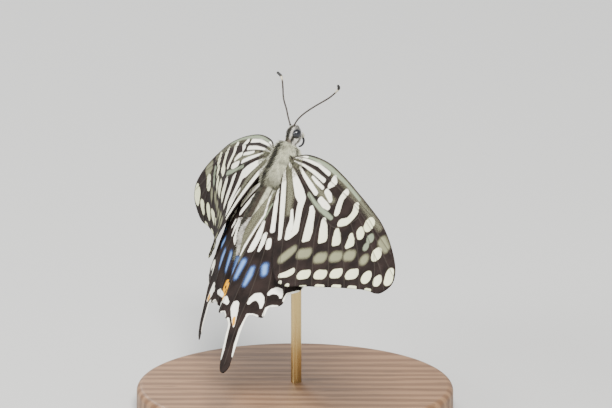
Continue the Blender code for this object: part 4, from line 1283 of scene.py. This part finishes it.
def make_wings():
    finishes = [wing_material("scales_upper", True), wing_material("scales_under", False)]
    fore, hind = flat_sheet(FORE_OUTLINE, FORE_VEINS), flat_sheet(HIND_OUTLINE, HIND_VEINS)
    for kind, sheet, marks in (("forewing", fore, fore_fields(fore[0], fore[3])),
                               ("hindwing", hind, hind_fields(hind[0]))):
        for _, word in SIDES:
            make_wing(kind + "_" + word, sheet, marks, finishes)


# Studio: the photo's frame with the thorax's middle at a pixel of it, the lamps, glow and floor
IMAGE = (612, 408)
PIXELS_PER_MM = 5.3
THORAX_PIXEL = (284.3, 168.7)
CAMERA_ELEVATION = 15.0
CAMERA_DISTANCE = 2500.0
SENSOR = 36.0
LIGHTS_AIM = (0, 0, 0.04)
# Each light: name, place, size, watts and colour
LIGHTS = (("key", (0.1, -0.8, 0.85), 0.4, 31.0, (1.0, 0.98, 0.95)),
          ("fill", (-0.9, -0.4, 0.5), 0.5, 10.0, (1.0, 1.0, 1.0)),
          ("rim", (-0.3, 0.8, 0.7), 0.4, 6.0, (1.0, 1.0, 1.0)))
GLOW_COLOUR = (0.92, 0.95, 1.0, 1.0)
GLOW_STRENGTH = 0.75
FLOOR_HALF = 4


def make_camera():
    width = IMAGE[0] / PIXELS_PER_MM
    data = bpy.data.cameras.new("view")
    data.sensor_width = SENSOR
    data.lens = SENSOR * CAMERA_DISTANCE / width
    data.clip_start, data.clip_end = 0.05, 50.0
    camera = link_object("view", data)
    tilt = radians(CAMERA_ELEVATION)
    back = Vector((0, -cos(tilt), sin(tilt)))
    right, up = Vector((1, 0, 0)), Vector((0, sin(tilt), cos(tilt)))
    aim = Vector(THORAX_PLACE) + right * ((IMAGE[0] / 2 - THORAX_PIXEL[0]) / PIXELS_PER_MM)
    aim -= up * ((IMAGE[1] / 2 - THORAX_PIXEL[1]) / PIXELS_PER_MM)
    camera.location = (aim + back * CAMERA_DISTANCE) * MM
    camera.rotation_mode = "QUATERNION"
    camera.rotation_quaternion = (-back).to_track_quat("-Z", "Y")
    bpy.context.scene.camera = camera


def add_light(name, place, size, watts, colour):
    data = bpy.data.lights.new(name, "AREA")
    data.shape = "DISK"
    data.size = size
    data.energy = watts
    data.color = colour
    light = link_object(name, data)
    light.location = place
    aim = Vector(LIGHTS_AIM) - Vector(place)
    light.rotation_mode = "QUATERNION"
    light.rotation_quaternion = aim.to_track_quat("-Z", "Y")


def make_studio():
    corners = [(x * FLOOR_HALF, y * FLOOR_HALF, 0) for x, y in ((-1, -1), (1, -1), (1, 1), (-1, 1))]
    floor = add_mesh("floor", corners, [(0, 1, 2, 3)], [floor_material()], smooth=False)
    world = bpy.data.worlds.new("studio")
    bpy.context.scene.world = world
    world.use_nodes = True
    glow = world.node_tree.nodes["Background"]
    glow.inputs["Color"].default_value = GLOW_COLOUR
    glow.inputs["Strength"].default_value = GLOW_STRENGTH
    for light in LIGHTS:
        add_light(*light)


def main():
    coat, tube = coat_tree(), tube_tree()
    make_stand()
    make_wings()
    hair = make_body(coat)
    make_eyes()
    make_limbs(tube, hair)
    grow_wing_hair(coat, hair)
    make_camera()
    make_studio()


main()
